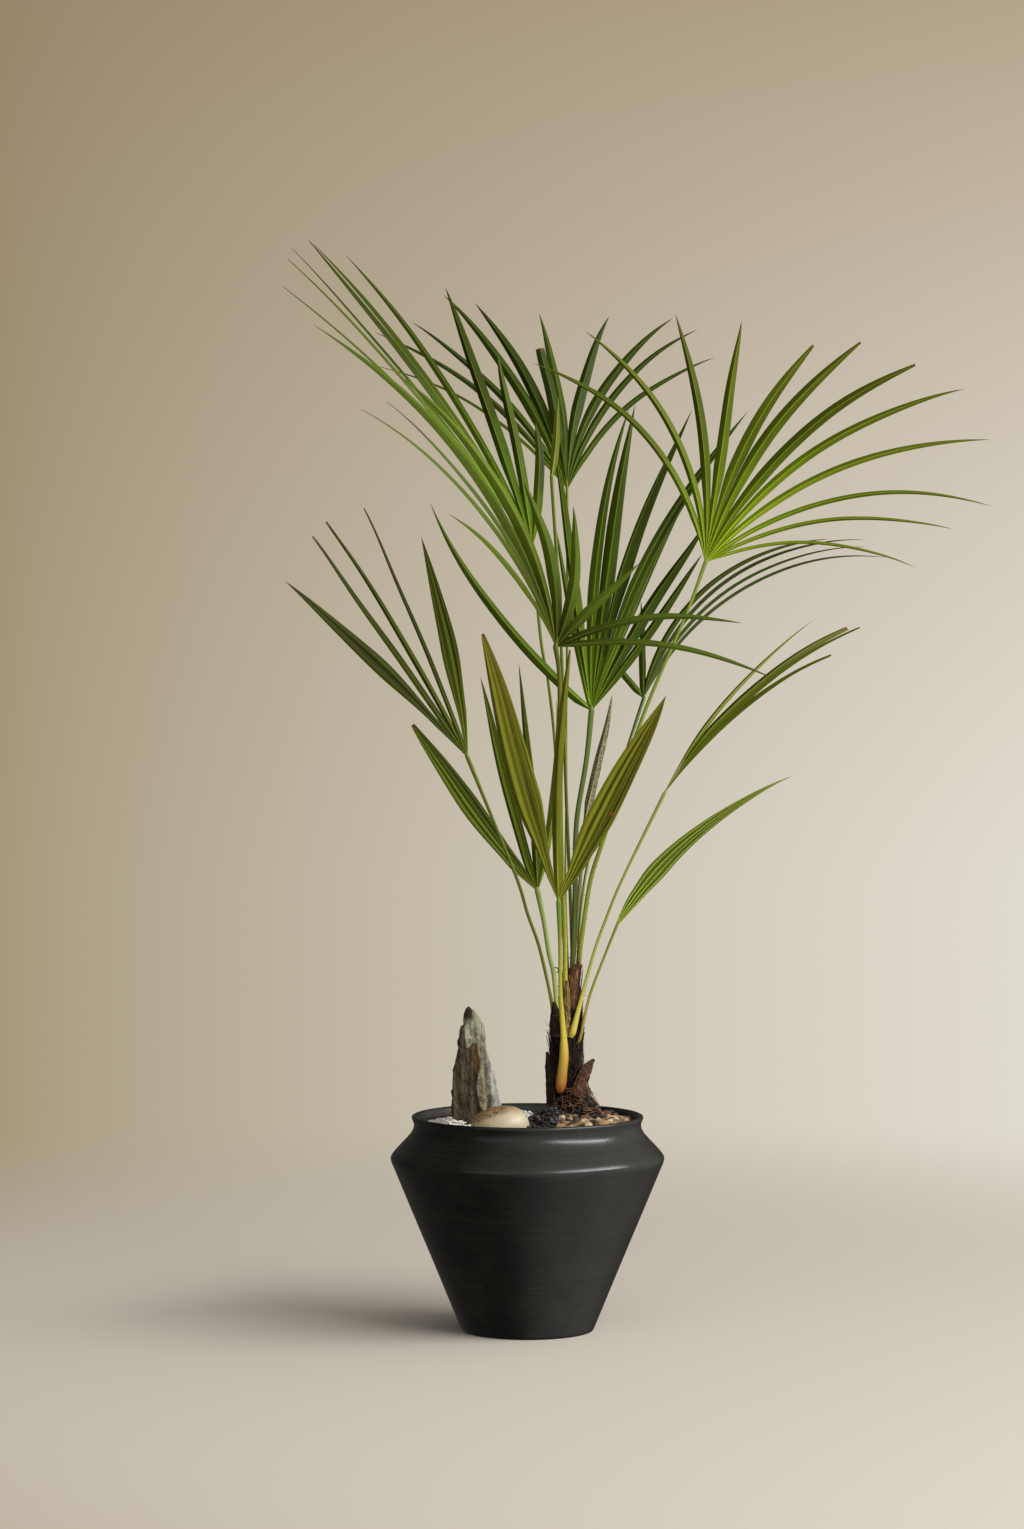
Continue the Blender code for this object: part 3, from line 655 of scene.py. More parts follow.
plainLeaf = {  # what holds for a leaf that doesn't say otherwise
    "ends": {},  # by lobe, the share of its width that is left at its tip
    "taper": 2.6,  # the higher, the later a lobe narrows
    "widen": 0.22,  # how far along its free part a lobe has its full width
    "spread": 0.47,  # the most of the gap to the next lobe that half a lobe may take
    "fold": 1,  # how deep the pleats are
    "bright": (),  # lobes painted lighter, as if light came through them
    "shine": 1,  # the light line along each ridge
    "streaks": 0,  # light streaks along the lobes
    "paintedLitSide": 0.14,  # painted light: how much lighter a pleat's side towards the window is
    "bands": 0.2,  # light sides of pleats, here and there
    "aged": 0,  # yellow brown towards the tips
    "mottle": 0,  # pale specks all over
    "spots": 0,  # brown specks
    "tips": 0.9,  # brown tips
    "blotches": (),  # dead patches: x, z and radius
    "teeth": None,  # thorns on the stalk, from and to which share of its height
}
fanShape = {
    "pathSteps": 40,
    "sharedRows": 7,
    "freeRows": 26,
    "columnsPerPleat": 6,
    "thickness": 0.36,
    "hubFold": 0.55,
    "tipFold": 0.32,
    "ridgeRound": 0.02,
    "partingSpread": (0.9, 1.3),
    "firstRow": 1,
    "seamWidth": 0.9,  # lobes part where they are this share of the narrower one's width apart
    "seamReach": (4, 99),
    "hubHalf": (1, 0.16),  # a lone lobe's half width at the hub, and how fast it grows
    "wayStep": 3,
    "twist": 16,  # degrees at the tip, at most
    "sway": 0.9,
    "swayBeats": (1.1, 1.9),
    "ribEvery": 1.9,
}
stalkShape = {
    "stepsPerPoint": 8,
    "corners": 16,
    "flatness": 0.82,
    "flatFrom": 0.3,  # past this height the outline is only half as tall
    "toothSteps": 30,
    "toothLength": 1.5,
    "toothWidth": 0.42,
    "toothEvery": 5.5,
    # past the hub: how far on, the share of the radius that is left, and how far back in radii
    "tongue": [
        (0.6, 0.98, 0), (1.8, 0.86, 0.1), (3.4, 0.68, 0.25),
        (5.5, 0.48, 0.35), (8, 0.26, 0.35), (10, 0.06, 0.3),
    ],
}
Lobe = namedtuple("Lobe", "first last lean length width pleats", defaults=[1])


def fanWay(leaf, bearing, lean=0):
    # the way out from the hub at a bearing, in the plane of the fan or leaning from it
    tiltX, tiltZ = leaf["tilt"]
    x, z = math.cos(bearing), math.sin(bearing)
    return Vector((x, tiltX * x + tiltZ * z + math.tan(math.radians(lean)), z)).normalized()


class Fan:
    # the blade of one leaf: its lobes share seams near the hub and part further out
    def __init__(self, leaf, dice):
        self.leaf = leaf
        self.lobes = leaf["lobes"]
        self.hub = Vector(leaf["route"][-1][:3])
        across, up = leaf["tilt"]
        self.front = Vector((across, -1, up)).normalized()
        self.paths = [self.trace(lobe, dice) for lobe in self.lobes]
        spread = fanShape["partingSpread"]
        self.parts = [
            min(leaf["parting"] * dice.uniform(*spread), self.widest(i)) for i in range(-1, len(self.lobes))
        ]
        self.twists = [math.radians(dice.uniform(-1, 1) * fanShape["twist"]) for _ in self.lobes]

    def trace(self, lobe, dice):
        # the line up the middle of a lobe
        steps = fanShape["pathSteps"]
        swing, beats = dice.uniform(0, anyTurn), dice.uniform(*fanShape["swayBeats"])
        point = self.hub.copy()
        path = [point.copy()]
        for i in range(steps):
            along = (i + 0.5) / steps
            bearing = math.radians(lobe.first + (lobe.last - lobe.first) * along)
            way = fanWay(self.leaf, bearing, lobe.lean)
            point = point + way * lobe.length / steps
            sway = fanShape["sway"] * along**2 * math.sin(swing + beats * 2 * math.pi * along)
            path.append(point + way.cross(self.front) * sway)
        return path

    def middle(self, i, distance):
        steps = fanShape["pathSteps"]
        place = min(distance / self.lobes[i].length, 1) * steps
        low = min(int(place), steps - 1)
        return self.paths[i][low].lerp(self.paths[i][low + 1], place - low)

    def way(self, i, distance):
        before = max(distance - fanShape["wayStep"], 0)
        return (self.middle(i, distance) - self.middle(i, before)).normalized()

    def gap(self, i, other, distance):
        return (self.middle(i, distance) - self.middle(other, distance)).length

    def seam(self, i, side, distance):
        # where lobe i meets its neighbour on this side, or its outer edge if it has none
        here = self.middle(i, distance)
        if 0 <= i + side < len(self.lobes):
            return (here + self.middle(i + side, distance)) / 2
        if len(self.lobes) == 1:
            start, growth = fanShape["hubHalf"]
            half = min(self.lobes[i].width / 2, start + growth * distance)
            return here + self.way(i, distance).cross(self.front) * side * half
        outward = here - self.seam(i, -side, distance)
        return here + outward.normalized() * min(outward.length, self.lobes[i].width / 2)

    def widest(self, i):
        # how far from the hub lobes i and i + 1 can share a seam before it outgrows the narrower of them
        if i < 0 or i + 1 >= len(self.lobes):
            return math.inf
        allowed = min(self.lobes[i].width, self.lobes[i + 1].width) * fanShape["seamWidth"]
        least, most = fanShape["seamReach"]
        distance = fanShape["firstRow"]
        while self.gap(i, i + 1, distance) < allowed and distance < most:
            distance += 1
        return max(distance, least)

    def across(self, i, distance):
        at = min(distance, self.parts[i], self.parts[i + 1])
        span = self.seam(i, 1, at) - self.seam(i, -1, at)
        way = self.way(i, distance)
        flat = (span - way * span.dot(way)).normalized()
        free = max(0, distance - at) / (self.lobes[i].length - at)
        return Matrix.Rotation(self.twists[i] * free, 3, way) @ flat

    def edge(self, i, side, distance):
        part = self.parts[i + (side > 0)]
        if distance <= part:
            return self.seam(i, side, distance)
        free = (distance - part) / (self.lobes[i].length - part)
        left = self.leaf["ends"].get(i, 0)
        full = self.lobes[i].width / 2 * (1 - (1 - left) * free ** self.leaf["taper"])
        start = (self.seam(i, side, part) - self.middle(i, part)).length
        blend = min(1, free / self.leaf["widen"])
        half = start + (full - start) * blend * blend * (3 - 2 * blend)
        if 0 <= i + side < len(self.lobes):
            half = min(half, self.gap(i, i + side, distance) * self.leaf["spread"])
        return self.middle(i, distance) + self.across(i, distance) * side * half

    def surface(self, i, u, distance):
        pleats = self.lobes[i].pleats
        low, high = self.edge(i, -1, distance), self.edge(i, 1, distance)
        here = self.middle(i, distance)
        flat = low.lerp(here, 2 * u) if u < 0.5 else here.lerp(high, 2 * u - 1)
        up = self.across(i, distance).cross(self.way(i, distance))
        if up.dot(self.front) < 0:
            up.negate()
        along = distance / self.lobes[i].length
        fold = fanShape["hubFold"] + (fanShape["tipFold"] - fanShape["hubFold"]) * along**0.7
        soft = fanShape["ridgeRound"]
        ridge = 1 - math.sqrt((u * pleats % 1 * 2 - 1) ** 2 * (1 - soft) + soft)
        return flat + up * ridge * fold * self.leaf["fold"] * (high - low).length / pleats

    def rows(self, i):
        shared, free = fanShape["sharedRows"], fanShape["freeRows"]
        common = self.leaf["parting"] * fanShape["partingSpread"][0]
        first = fanShape["firstRow"]
        near = [first + (common - first) * k / shared for k in range(shared)]
        return near + [common + (self.lobes[i].length - common) * k / free for k in range(free + 1)]


def makeLobe(fan, i, tone):
    lobe, rows = fan.lobes[i], fan.rows(i)
    columns = fanShape["columnsPerPleat"] * lobe.pleats
    bpy.ops.mesh.primitive_grid_add(x_subdivisions=columns, y_subdivisions=len(rows) - 1, size=1)
    sheet = bpy.context.object
    mesh = sheet.data
    grid = [(vert.co.x + 0.5, rows[round((vert.co.y + 0.5) * (len(rows) - 1))]) for vert in mesh.vertices]
    tones = mesh.attributes.new("tone", "FLOAT", "POINT")
    for vert, (u, distance), toned in zip(mesh.vertices, grid, tones.data):
        vert.co = fan.surface(i, u, distance) * mm
        toned.value = tone
    spots = mesh.uv_layers.active
    spots.name = "pleats"
    for loop, spot in zip(mesh.loops, spots.data):
        u, distance = grid[loop.vertex_index]
        spot.uv = (u * lobe.pleats, distance / lobe.length)
    return sheet


def bladePaint(name, leaf):
    inner, outer, light = (rgb(*shade) for shade in leaf["blade"])
    widest = max(lobe.width / lobe.pleats for lobe in leaf["lobes"])
    ribs = max(2, round(widest / fanShape["ribEvery"]))
    paint = Paint(name + "Green", Specular_IOR_Level=0.12)
    across, along, _ = paint.split(paint.node("ShaderNodeUVMap", {"uv_map": "pleats"}))
    tone = paint.attribute("tone")
    place = paint.place()
    x, _, z = paint.split(place)
    side = abs(across % 1 - 0.5) * 2  # 0 on a ridge, 1 in a valley
    half = (across % 1).rise(0.42, 0.58)  # painted light: 1 on the side of a pleat that faces the window, which is painted lighter
    mottle = paint.noise(place, 0.05, 3, 0.6)
    cloud = paint.noise(place, 0.2, 3, 0.6)
    speck = paint.noise(place, 0.55, 2, 0.7)
    fine = paint.noise(paint.combine(across * ribs * 1.4, along * 5, tone * 40), 1.0, 2)
    streak = paint.noise(paint.combine(across * 3, along * 0.7, tone * 9), 1.0, 1)
    sides = paint.combine(paint.maths("FLOOR", across * 2) * 1.7, tone * 40)
    strip = paint.noise(sides, 1.0, 0).rise(0.32, 0.68)  # each side of a pleat has its own tone
    veins = (across * ribs + tone).wave()
    line = 1 - side.rise(0.0, 0.28 - along.rise(0.0, 0.3) * 0.14)  # broadest at the hub
    colour = paint.coats(
        inner,
        ((along + (mottle - 0.5) * 0.3).rise(0.04, 0.62), outer),
        (fine.rise(0.3, 0.9) * (0.2 + leaf["streaks"] * 0.5), light),
        (streak.rise(0.5, 0.62) * leaf["streaks"] * 0.75, light),
        (strip.rise(0.6, 0.9) * leaf["bands"], light),
        (line * (0.9 - along.rise(0.0, 0.4) * 0.5) * leaf["shine"], tuple(2.0 * part for part in light)),
    )
    # painted light: lobes listed as bright glow as if lit from behind, less so towards their tips; the rest
    # of the tone varies at random
    glow = tone * (0.3 - along.rise(0.45, 1.0) * 0.14)
    # painted light and tone: each pleat's window side and the glowing lobes are painted lighter, over random
    # tone, cloud and darker veins
    shade = 0.64 + half * leaf["paintedLitSide"] + strip * 0.14 + glow + cloud * 0.2 - veins * 0.08
    dim = paint.combine(shade, shade, shade * 0.45, kind="ShaderNodeCombineColor")
    colour = paint.mix(1.0, colour, dim, "MULTIPLY")
    aged = (along + (cloud - 0.5) * 0.4).rise(0.45, 1.0) * leaf["aged"]
    tip = (along + (cloud - 0.5) * 0.03).rise(0.965, 1.0) * leaf["tips"]
    dead = paint.maths("MAXIMUM", tip, speck.rise(0.74, 0.8) * (0.25 + leaf["spots"]))
    for spotX, spotZ, radius in leaf["blotches"]:
        far = ((x - spotX) * (x - spotX) + (z - spotZ) * (z - spotZ)) ** 0.5 + mottle * radius
        dead = paint.maths("MAXIMUM", dead, 1 - far.rise(radius, radius * 1.5))
    colour = paint.coats(
        colour,
        (aged, rgb(132, 112, 38)),
        (speck.rise(0.35, 0.65) * leaf["mottle"], light),
        (dead, paint.mix(cloud, rgb(92, 58, 18), rgb(138, 100, 42))),
    )
    paint.wear(Base_Color=colour, Roughness=0.42 + cloud * 0.16)
    paint.bump(fine, 0.05, 0.4)
    return paint


def makeFan(name, leaf, dice):
    fan = Fan(leaf, dice)
    # painted light: a bright lobe's tone is raised by one, so that it is painted glowing
    sheet = joined([makeLobe(fan, i, dice.random() + (i in leaf["bright"])) for i in range(len(fan.lobes))])
    weld(sheet, 0.02)
    thicken(sheet, fanShape["thickness"])
    slot = "dry_leaf" if name == "dry" else "leaf_green"
    finishPiece(sheet, f"fan_{name}", bladePaint(name, leaf), [f"blade_{name}"], 38)


def stalkPaint(name, leaf):
    foot, middle, top = (rgb(*shade) for shade in leaf["stalk"])
    low, high = leaf["route"][0][2], leaf["route"][-1][2]
    paint = Paint(name + "Stalk", Specular_IOR_Level=0.4)
    place = paint.place()
    along = (paint.split(place)[2] - low) / (high - low)
    cloud = paint.noise(paint.place((1, 1, 0.15)), 0.7, 3, 0.6)
    specks = paint.noise(place, 0.9, 2, 0.6).rise(0.68, 0.74) * (1 - along.rise(0.1, 0.7))
    streaks = paint.noise(paint.place((1.6, 1.6, 0.03)), 1.2, 2)
    colour = paint.coats(
        paint.ramp(along + (cloud - 0.5) * 0.08, [(0.0, foot), (0.3, middle), (1.0, top)]),
        (specks * 0.75, rgb(66, 40, 20)),
        (streaks.rise(0.45, 0.8) * 0.3, rgb(92, 104, 44)),
    )
    colour = paint.mix(1.0, colour, (1.0, 1.0, 0.7), "MULTIPLY")
    paint.wear(Base_Color=colour, Roughness=0.4 + cloud * 0.15)
    paint.bump(streaks, 0.06, 0.4)
    return paint


def stalkOutline():
    # half round: flatter on the side towards the crown
    outline = bpy.data.curves.new("outline", "CURVE")
    spline = outline.splines.new("POLY")
    corners, flat = stalkShape["corners"], stalkShape["flatFrom"]
    spline.points.add(corners - 1)
    for i, corner in enumerate(spline.points):
        turn = 2 * math.pi * i / corners
        x, y = math.cos(turn), math.sin(turn) * stalkShape["flatness"]
        corner.co = (x * mm, (y if y < flat else flat + (y - flat) * 0.5) * mm, 0, 1)
    spline.use_cyclic_u = True
    return newThing("outline", outline)


def stalkTongue(leaf, route):
    # past the hub the stalk runs on for a little behind the blade, as its midrib
    tip, radius = Vector(route[-1][:3]), route[-1][3]
    onward = (tip - Vector(route[-2][:3])).normalized()
    first, last = (math.radians(leaf["lobes"][k].first) for k in (0, -1))
    onward = (onward + fanWay(leaf, (first + last) / 2)).normalized()
    return [(*(tip + onward * reach + Vector((0, drop * radius, 0))), radius * left)
            for reach, left, drop in stalkShape["tongue"]]


def makeStalk(name, leaf, dice):
    # a tube round a route, with a helper curve for its outline
    route = smoothRoute(leaf["route"], stalkShape["stepsPerPoint"])
    outline = stalkOutline()
    curve = bpy.data.curves.new("stalk", "CURVE")
    curve.dimensions = "3D"
    curve.bevel_mode = "OBJECT"
    curve.bevel_object = outline
    curve.use_fill_caps = True
    curve.twist_mode = "MINIMUM"
    line = curve.splines.new("POLY")
    points = route + stalkTongue(leaf, route)
    line.points.add(len(points) - 1)
    for place, (x, y, z, thick) in zip(line.points, points):
        place.co = (x * mm, y * mm, z * mm, 1)
        place.radius = thick
    stalk = newThing("stalk", curve)
    bpy.context.view_layer.update()
    stalk = meshed(stalk)
    bpy.data.objects.remove(outline, do_unlink=True)
    weld(stalk, 0.01)
    thorns = makeTeeth(leaf, dice) if leaf["teeth"] else []
    stem = joined([*thorns[::-1], stalk])
    slot = "dry_leaf" if name == "dry" else "stalk_green"
    finishPiece(stem, f"stem_{name}", stalkPaint(name, leaf), [f"stalk_{name}"], 50)


def makeTooth():
    # one small thorn, a cone that points along +Z
    length, width = stalkShape["toothLength"] * mm, stalkShape["toothWidth"] * mm
    bpy.ops.mesh.primitive_cone_add(vertices=5, radius1=width, radius2=0, depth=length)
    tooth = bpy.context.object
    inEditMode(tooth, (bpy.ops.transform.translate, {"value": (0, 0, length / 2)}))
    return tooth


def makeTeeth(leaf, dice):
    # thorns along both margins of the stalk, between two shares of its height
    pattern = makeTooth()
    low, high = leaf["teeth"]
    route = smoothRoute(leaf["route"], stalkShape["toothSteps"])
    thorns = []
    gone, nextTooth = 0, 0
    for start, end in zip(route, route[1:]):
        point, way = Vector(start[:3]), Vector(end[:3]) - Vector(start[:3])
        gone += way.length
        place = (point.z - route[0][2]) / (route[-1][2] - route[0][2])
        if gone < nextTooth or not low < place < high:
            continue
        nextTooth = gone + stalkShape["toothEvery"] * dice.uniform(0.4, 1.5)
        side = dice.choice((-1, 1))
        out = (Vector((side, -0.35, 0.5)) - way.normalized() * 0.2).normalized()
        thorn = newThing("thorn", pattern.data.copy())
        thorn.location = (point + Vector((side, -0.2, 0)) * start[3] * 0.88) * mm
        thorn.rotation_euler = out.to_track_quat("Z", "Y").to_euler()
        thorn.scale = [dice.uniform(0.5, 1.1)] * 3
        thorns.append(thorn)
    bpy.data.objects.remove(pattern, do_unlink=True)
    for thorn in thorns:
        selectOnly(thorn)
        bpy.ops.object.transform_apply(location=True, rotation=True, scale=True)
    return thorns


for number, (name, ownLeaf) in enumerate(leaves.items()):
    leaf, dice = {**plainLeaf, **ownLeaf}, random.Random(40 + number)
    leaf["lobes"] = [Lobe(*lobe) for lobe in leaf["lobes"]]
    makeStalk(name, leaf, dice)
    makeFan(name, leaf, dice)
print("leaves grown")

# Gravel: loose chips on the beds

# "size" is the least and the most length of a chip in millimetres, and "shapes" how many different chips
# there are, each with so many flat "cuts". Each of "heaps": middle x and y, reach and height in millimetres.
# Its chips lie on the bed and on each other. "tones" are the colours that a chip's tone, 0 to 1, picks from.
gravels = {
    "white": {
        "spacing": 2.3, "size": (1.4, 2.9), "flat": 0.8,
        "shapes": 6, "cuts": 0, "heaps": [(-58, -46, 17, 9), (-2, -8, 9, 7)],
        "tones": [(0.0, rgb(192, 187, 179)), (0.35, rgb(220, 217, 212)), (1.0, rgb(242, 241, 239))],
    },
    "black": {
        "spacing": 3.1, "size": (2.6, 5.2), "flat": 0.7,
        "shapes": 8, "cuts": 5, "heaps": [(17, -26, 16, 7)],
        "tones": [(0.0, rgb(8, 8, 9)), (0.7, rgb(32, 32, 33)), (1.0, rgb(94, 93, 94))],
    },
    "tan": {
        "spacing": 4.6, "size": (3.4, 9.0), "flat": 0.75,
        "shapes": 10, "cuts": 6, "heaps": [(52, -50, 20, 3)],
        "tones": [
            (0.0, rgb(18, 12, 8)), (0.22, rgb(56, 40, 27)), (0.45, rgb(122, 94, 64)),
            (0.7, rgb(166, 136, 99)), (0.85, rgb(204, 186, 158)), (1.0, rgb(96, 90, 83)),
        ],
        "largest": [  # x, y, length and tone of each
            (58, -52, 13.5, 0.6), (46, -60, 9.5, 0.5), (36, -64, 9.0, 0.42), (71, -40, 10, 0.95),
            (52, -44, 10, 0.3), (66, -54, 9, 0.8), (29, -66, 8.5, 0.2), (77, -20, 9, 0.5),
            (62, -28, 9, 0.08), (47, -50, 8, 0.86),
        ],
    },
}
spread = {
    "layers": 2,
    "rowPitch": 0.87,  # from row to row, in spacings
    "stray": 0.28,  # how far a chip lies from its place in the row, in spacings
    "heapStray": 0.7,
    "reach": 85.6,  # from the middle of the pot to the wall
    "sunk": (0.1, 0.42, 0.2),  # how high chips lie on the bed, in sizes: all, the upper layer, the largest
    "heapStep": (1.3, 0.75),  # levels of chips per size of height, and each level's rise in sizes
}


def topOf(node):
    # gives the height of a packed bed under any point, or None beside it
    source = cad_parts[node].data
    corners = [vert.co.copy() for vert in source.vertices]
    tree = BVHTree.FromPolygons(corners, [tuple(face.vertices) for face in source.polygons])
    def height(x, y):
        hit, normal, _, _ = tree.ray_cast(Vector((x * mm, y * mm, 0.4)), Vector((0, 0, -1)))
        return hit.z / mm if hit and normal.z > 0.25 else None
    return height


def makeChip(gravel, dice):
    # an angular pebble one unit long: a ball knocked out of round, then cut by a few planes
    bpy.ops.mesh.primitive_ico_sphere_add(subdivisions=2 if gravel["cuts"] else 1, radius=0.5)
    chip = bpy.context.object
    for vert in chip.data.vertices:
        vert.co *= dice.uniform(0.82, 1.15)
    bpy.ops.object.mode_set(mode="EDIT")
    for _ in range(gravel["cuts"]):
        bpy.ops.mesh.select_all(action="SELECT")
        way = Vector([dice.gauss(0, 1) for _ in range(3)]).normalized()
        place = way * dice.uniform(0.2, 0.36)
        bpy.ops.mesh.bisect(plane_co=place, plane_no=way, use_fill=True, clear_outer=True)
    bpy.ops.mesh.select_all(action="SELECT")
    bpy.ops.mesh.convex_hull()
    bpy.ops.mesh.quads_convert_to_tris()
    bpy.ops.object.mode_set(mode="OBJECT")
    corners = [vert.co.copy() for vert in chip.data.vertices]
    faces = [tuple(face.vertices) for face in chip.data.polygons]
    bpy.data.objects.remove(chip, do_unlink=True)
    return corners, faces


def stamped(name, shapes, places):
    # one mesh of many copies; a place is (shape number, matrix, tone)
    corners, faces, tones = [], [], []
    for number, matrix, tone in places:
        shapeCorners, shapeFaces = shapes[number]
        first = len(corners)
        corners += [matrix @ corner for corner in shapeCorners]
        faces += [tuple(first + i for i in face) for face in shapeFaces]
        tones += [tone] * len(shapeCorners)
    mesh = bpy.data.meshes.new(name)
    mesh.from_pydata(corners, [], faces)
    toned = mesh.attributes.new("tone", "FLOAT", "POINT")
    for item, tone in zip(toned.data, tones):
        item.value = tone
    thing = newThing(name, mesh)
    inEditMode(thing, (bpy.ops.mesh.normals_make_consistent, {}))
    return thing


def heaped(gravel, x, y):
    # how much higher the heaps lie than the bed here
    def risen(middleX, middleY, reach, rise):
        return rise * math.exp(-((x - middleX) ** 2 + (y - middleY) ** 2) / (0.5 * reach**2))
    return sum(risen(*heap) for heap in gravel["heaps"])


def chipPlace(x, y, z, size, flat, dice):
    # turned any way, flattened, laid down with a slight lean and put in its place
    turn = Euler([dice.uniform(0, anyTurn) for _ in range(3)]).to_matrix().to_4x4()
    lie = Euler((dice.gauss(0, 0.25), dice.gauss(0, 0.25), 0)).to_matrix().to_4x4()
    shape = Matrix.Diagonal((size * dice.uniform(0.8, 1.25), size * dice.uniform(0.75, 1.0), size * flat, 1))
    return Matrix.Translation(Vector((x, y, z)) * mm) @ lie @ Matrix.Scale(mm, 4) @ shape @ turn


def gravelPaint(name, gravel):
    paint = Paint(name + "Chips", Roughness=0.75)
    tone = paint.attribute("tone")
    place = paint.place()
    cloud = paint.noise(place, 0.6, 3, 0.6)
    grain = paint.noise(place, 3.0, 3, 0.7)
    colour = paint.ramp(tone + (cloud - 0.5) * 0.3, gravel["tones"])
    colour = paint.mix(grain.rise(0.55, 0.8) * 0.35, colour, gravel["tones"][0][1])
    paint.wear(Base_Color=colour, Roughness=0.6 + cloud * 0.25)
    paint.bump(grain + cloud * 0.6, 0.25, 0.7)
    return paint


def bedPaint(name, gravel):
    # small lumps in the gravel's own colours, seen between its chips
    paint = Paint(name + "Bed", Roughness=0.85)
    lumps = paint.cells(paint.place(), 1 / gravel["size"][0])
    paint.wear(Base_Color=paint.ramp(lumps, gravel["tones"]))
    paint.bump(lumps, 1.0, 0.8)
    return paint


def makeGravel(name, gravel, dice):
    bed, spacing, most = f"gravel_{name}", gravel["spacing"], gravel["size"][1]
    height = topOf(bed)
    shapes = [makeChip(gravel, dice) for _ in range(gravel["shapes"])]
    low, high = ([side / mm for side in corner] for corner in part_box(bed))
    rowDepth = spacing * spread["rowPitch"]
    allSunk, upper, bigSunk = spread["sunk"]
    levels, rise = spread["heapStep"]
    places = []
    for layer in range(spread["layers"]):
        for row in range(int((high[1] - low[1]) / rowDepth) + 1):
            for column in range(int((high[0] - low[0]) / spacing) + 1):
                x = low[0] + (column + 0.5 * (row % 2) + dice.gauss(0, spread["stray"])) * spacing
                y = low[1] + (row + dice.gauss(0, spread["stray"])) * rowDepth
                z = height(x, y)
                size = dice.triangular(*gravel["size"])
                if z is None or math.hypot(x, y) + size * 0.4 > spread["reach"]:
                    continue
                extra = heaped(gravel, x, y)
                for level in range(1 + round(extra / most * levels)):
                    lift = size * (allSunk + upper * layer * dice.random()) + min(extra, level * most * rise)
                    stray = dice.gauss(0, spread["heapStray"]) * level
                    place = chipPlace(x + stray, y, z + lift, size, gravel["flat"], dice)
                    places.append((dice.randrange(len(shapes)), place, dice.random()))
    for x, y, size, tone in gravel.get("largest", ()):
        z = height(x, y) + heaped(gravel, x, y) + size * bigSunk
        place = chipPlace(x, y, z, size, gravel["flat"], dice)
        places.append((dice.randrange(len(shapes)), place, tone))
    chips = stamped(name, shapes, places)
    finishPiece(chips, f"chips_{name}", gravelPaint(name, gravel), (), 20)
    wearPaint(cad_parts[bed], bedPaint(name, gravel))


for number, (name, gravel) in enumerate(gravels.items()):
    makeGravel(name, gravel, random.Random(7 + number))
print("gravel spread")


# The standing stone and the pebble

# Each plate: how far it stands in front, its thickness, and its edges as (height, left, right), all in
# millimetres
stone = {
    "plates": [
        (4, 15, [
            (150, -59, -33), (172, -59.5, -33), (190, -60.5, -34), (205, -59.4, -35), (219, -57, -38),
            (231.6, -56, -39), (232.6, -53.4, -39.2), (242.6, -52.8, -40.2), (243.6, -50.4, -40.4),
            (249, -49.4, -41.5), (253, -48.8, -42.6), (257, -47, -44.4),
        ]),
        (-1, 15, [
            (150, -52, -27), (186, -51, -28.5), (205, -50, -30.5), (219, -49.6, -31), (230, -49.4, -33.4),
            (243, -49, -36.6), (254, -47, -41.4), (256, -45.5, -43.5),
        ]),
        (1, 12, [
            (150, -44, -24), (178, -44, -25), (190, -43, -26.4), (204, -42, -28.4), (212, -41, -29.6),
            (220, -40, -31.4), (225, -38, -33.4),
        ]),
        (-4, 10, [
            (150, -38, -19.4), (168, -36, -19.8), (178, -34, -21.2), (190, -33, -23), (200, -31.6, -25.4),
            (206, -30.5, -27),
        ]),
    ],
    "middleY": 6,
    "thinner": 0.45,  # how much of its thickness a plate loses up to its top
    "voxel": 0.7,
    "relief": 2.6,
}
pebble = {"middle": (-21.5, -35, 168), "reach": (23.2, 18.6, 15.2), "lean": 0.16, "uneven": 0.03}


def makePlate(forward, thickness, levels):
    # a cube cut into levels, its ends moved out to the plate's edges
    bpy.ops.mesh.primitive_cube_add(size=1)
    plate = bpy.context.object
    mesh = bmesh.new()
    mesh.from_mesh(plate.data)
    cutUpright(mesh, len(levels) - 2)
    for vert in mesh.verts:
        level = round((vert.co.z + 0.5) * (len(levels) - 1))
        height, left, right = levels[level]
        thin = 1 - stone["thinner"] * level / (len(levels) - 1)
        x = left if vert.co.x < 0 else right
        y = stone["middleY"] - forward + vert.co.y * thickness * thin
        vert.co = Vector((x, y, height)) * mm
    mesh.to_mesh(plate.data)
    mesh.free()
    return plate


def chiselled(thing):
    # pushes the surface in and out: plates that run up the stone in steps, ledges across them, and a grain
    mesh = thing.data
    moved = []
    for vert in mesh.vertices:
        spot = vert.co / mm
        plates = noise.noise(Vector((spot.x * 0.2, spot.y * 0.2, spot.z * 0.018 + 9)))
        ledges = noise.noise(Vector((spot.x * 0.1, spot.y * 0.16, spot.z * 0.06 + 4)))
        grain = noise.fractal(Vector((spot.x, spot.y, spot.z * 0.4)) * 0.4, 0.9, 2.0, 4)
        steps = math.floor(plates * 6) / 6 + 0.7 * math.floor(ledges * 5) / 5
        push = stone["relief"] * (steps + 0.35 * grain)
        moved.append(vert.co + vert.normal * push * mm)
    for vert, spot in zip(mesh.vertices, moved):
        vert.co = spot


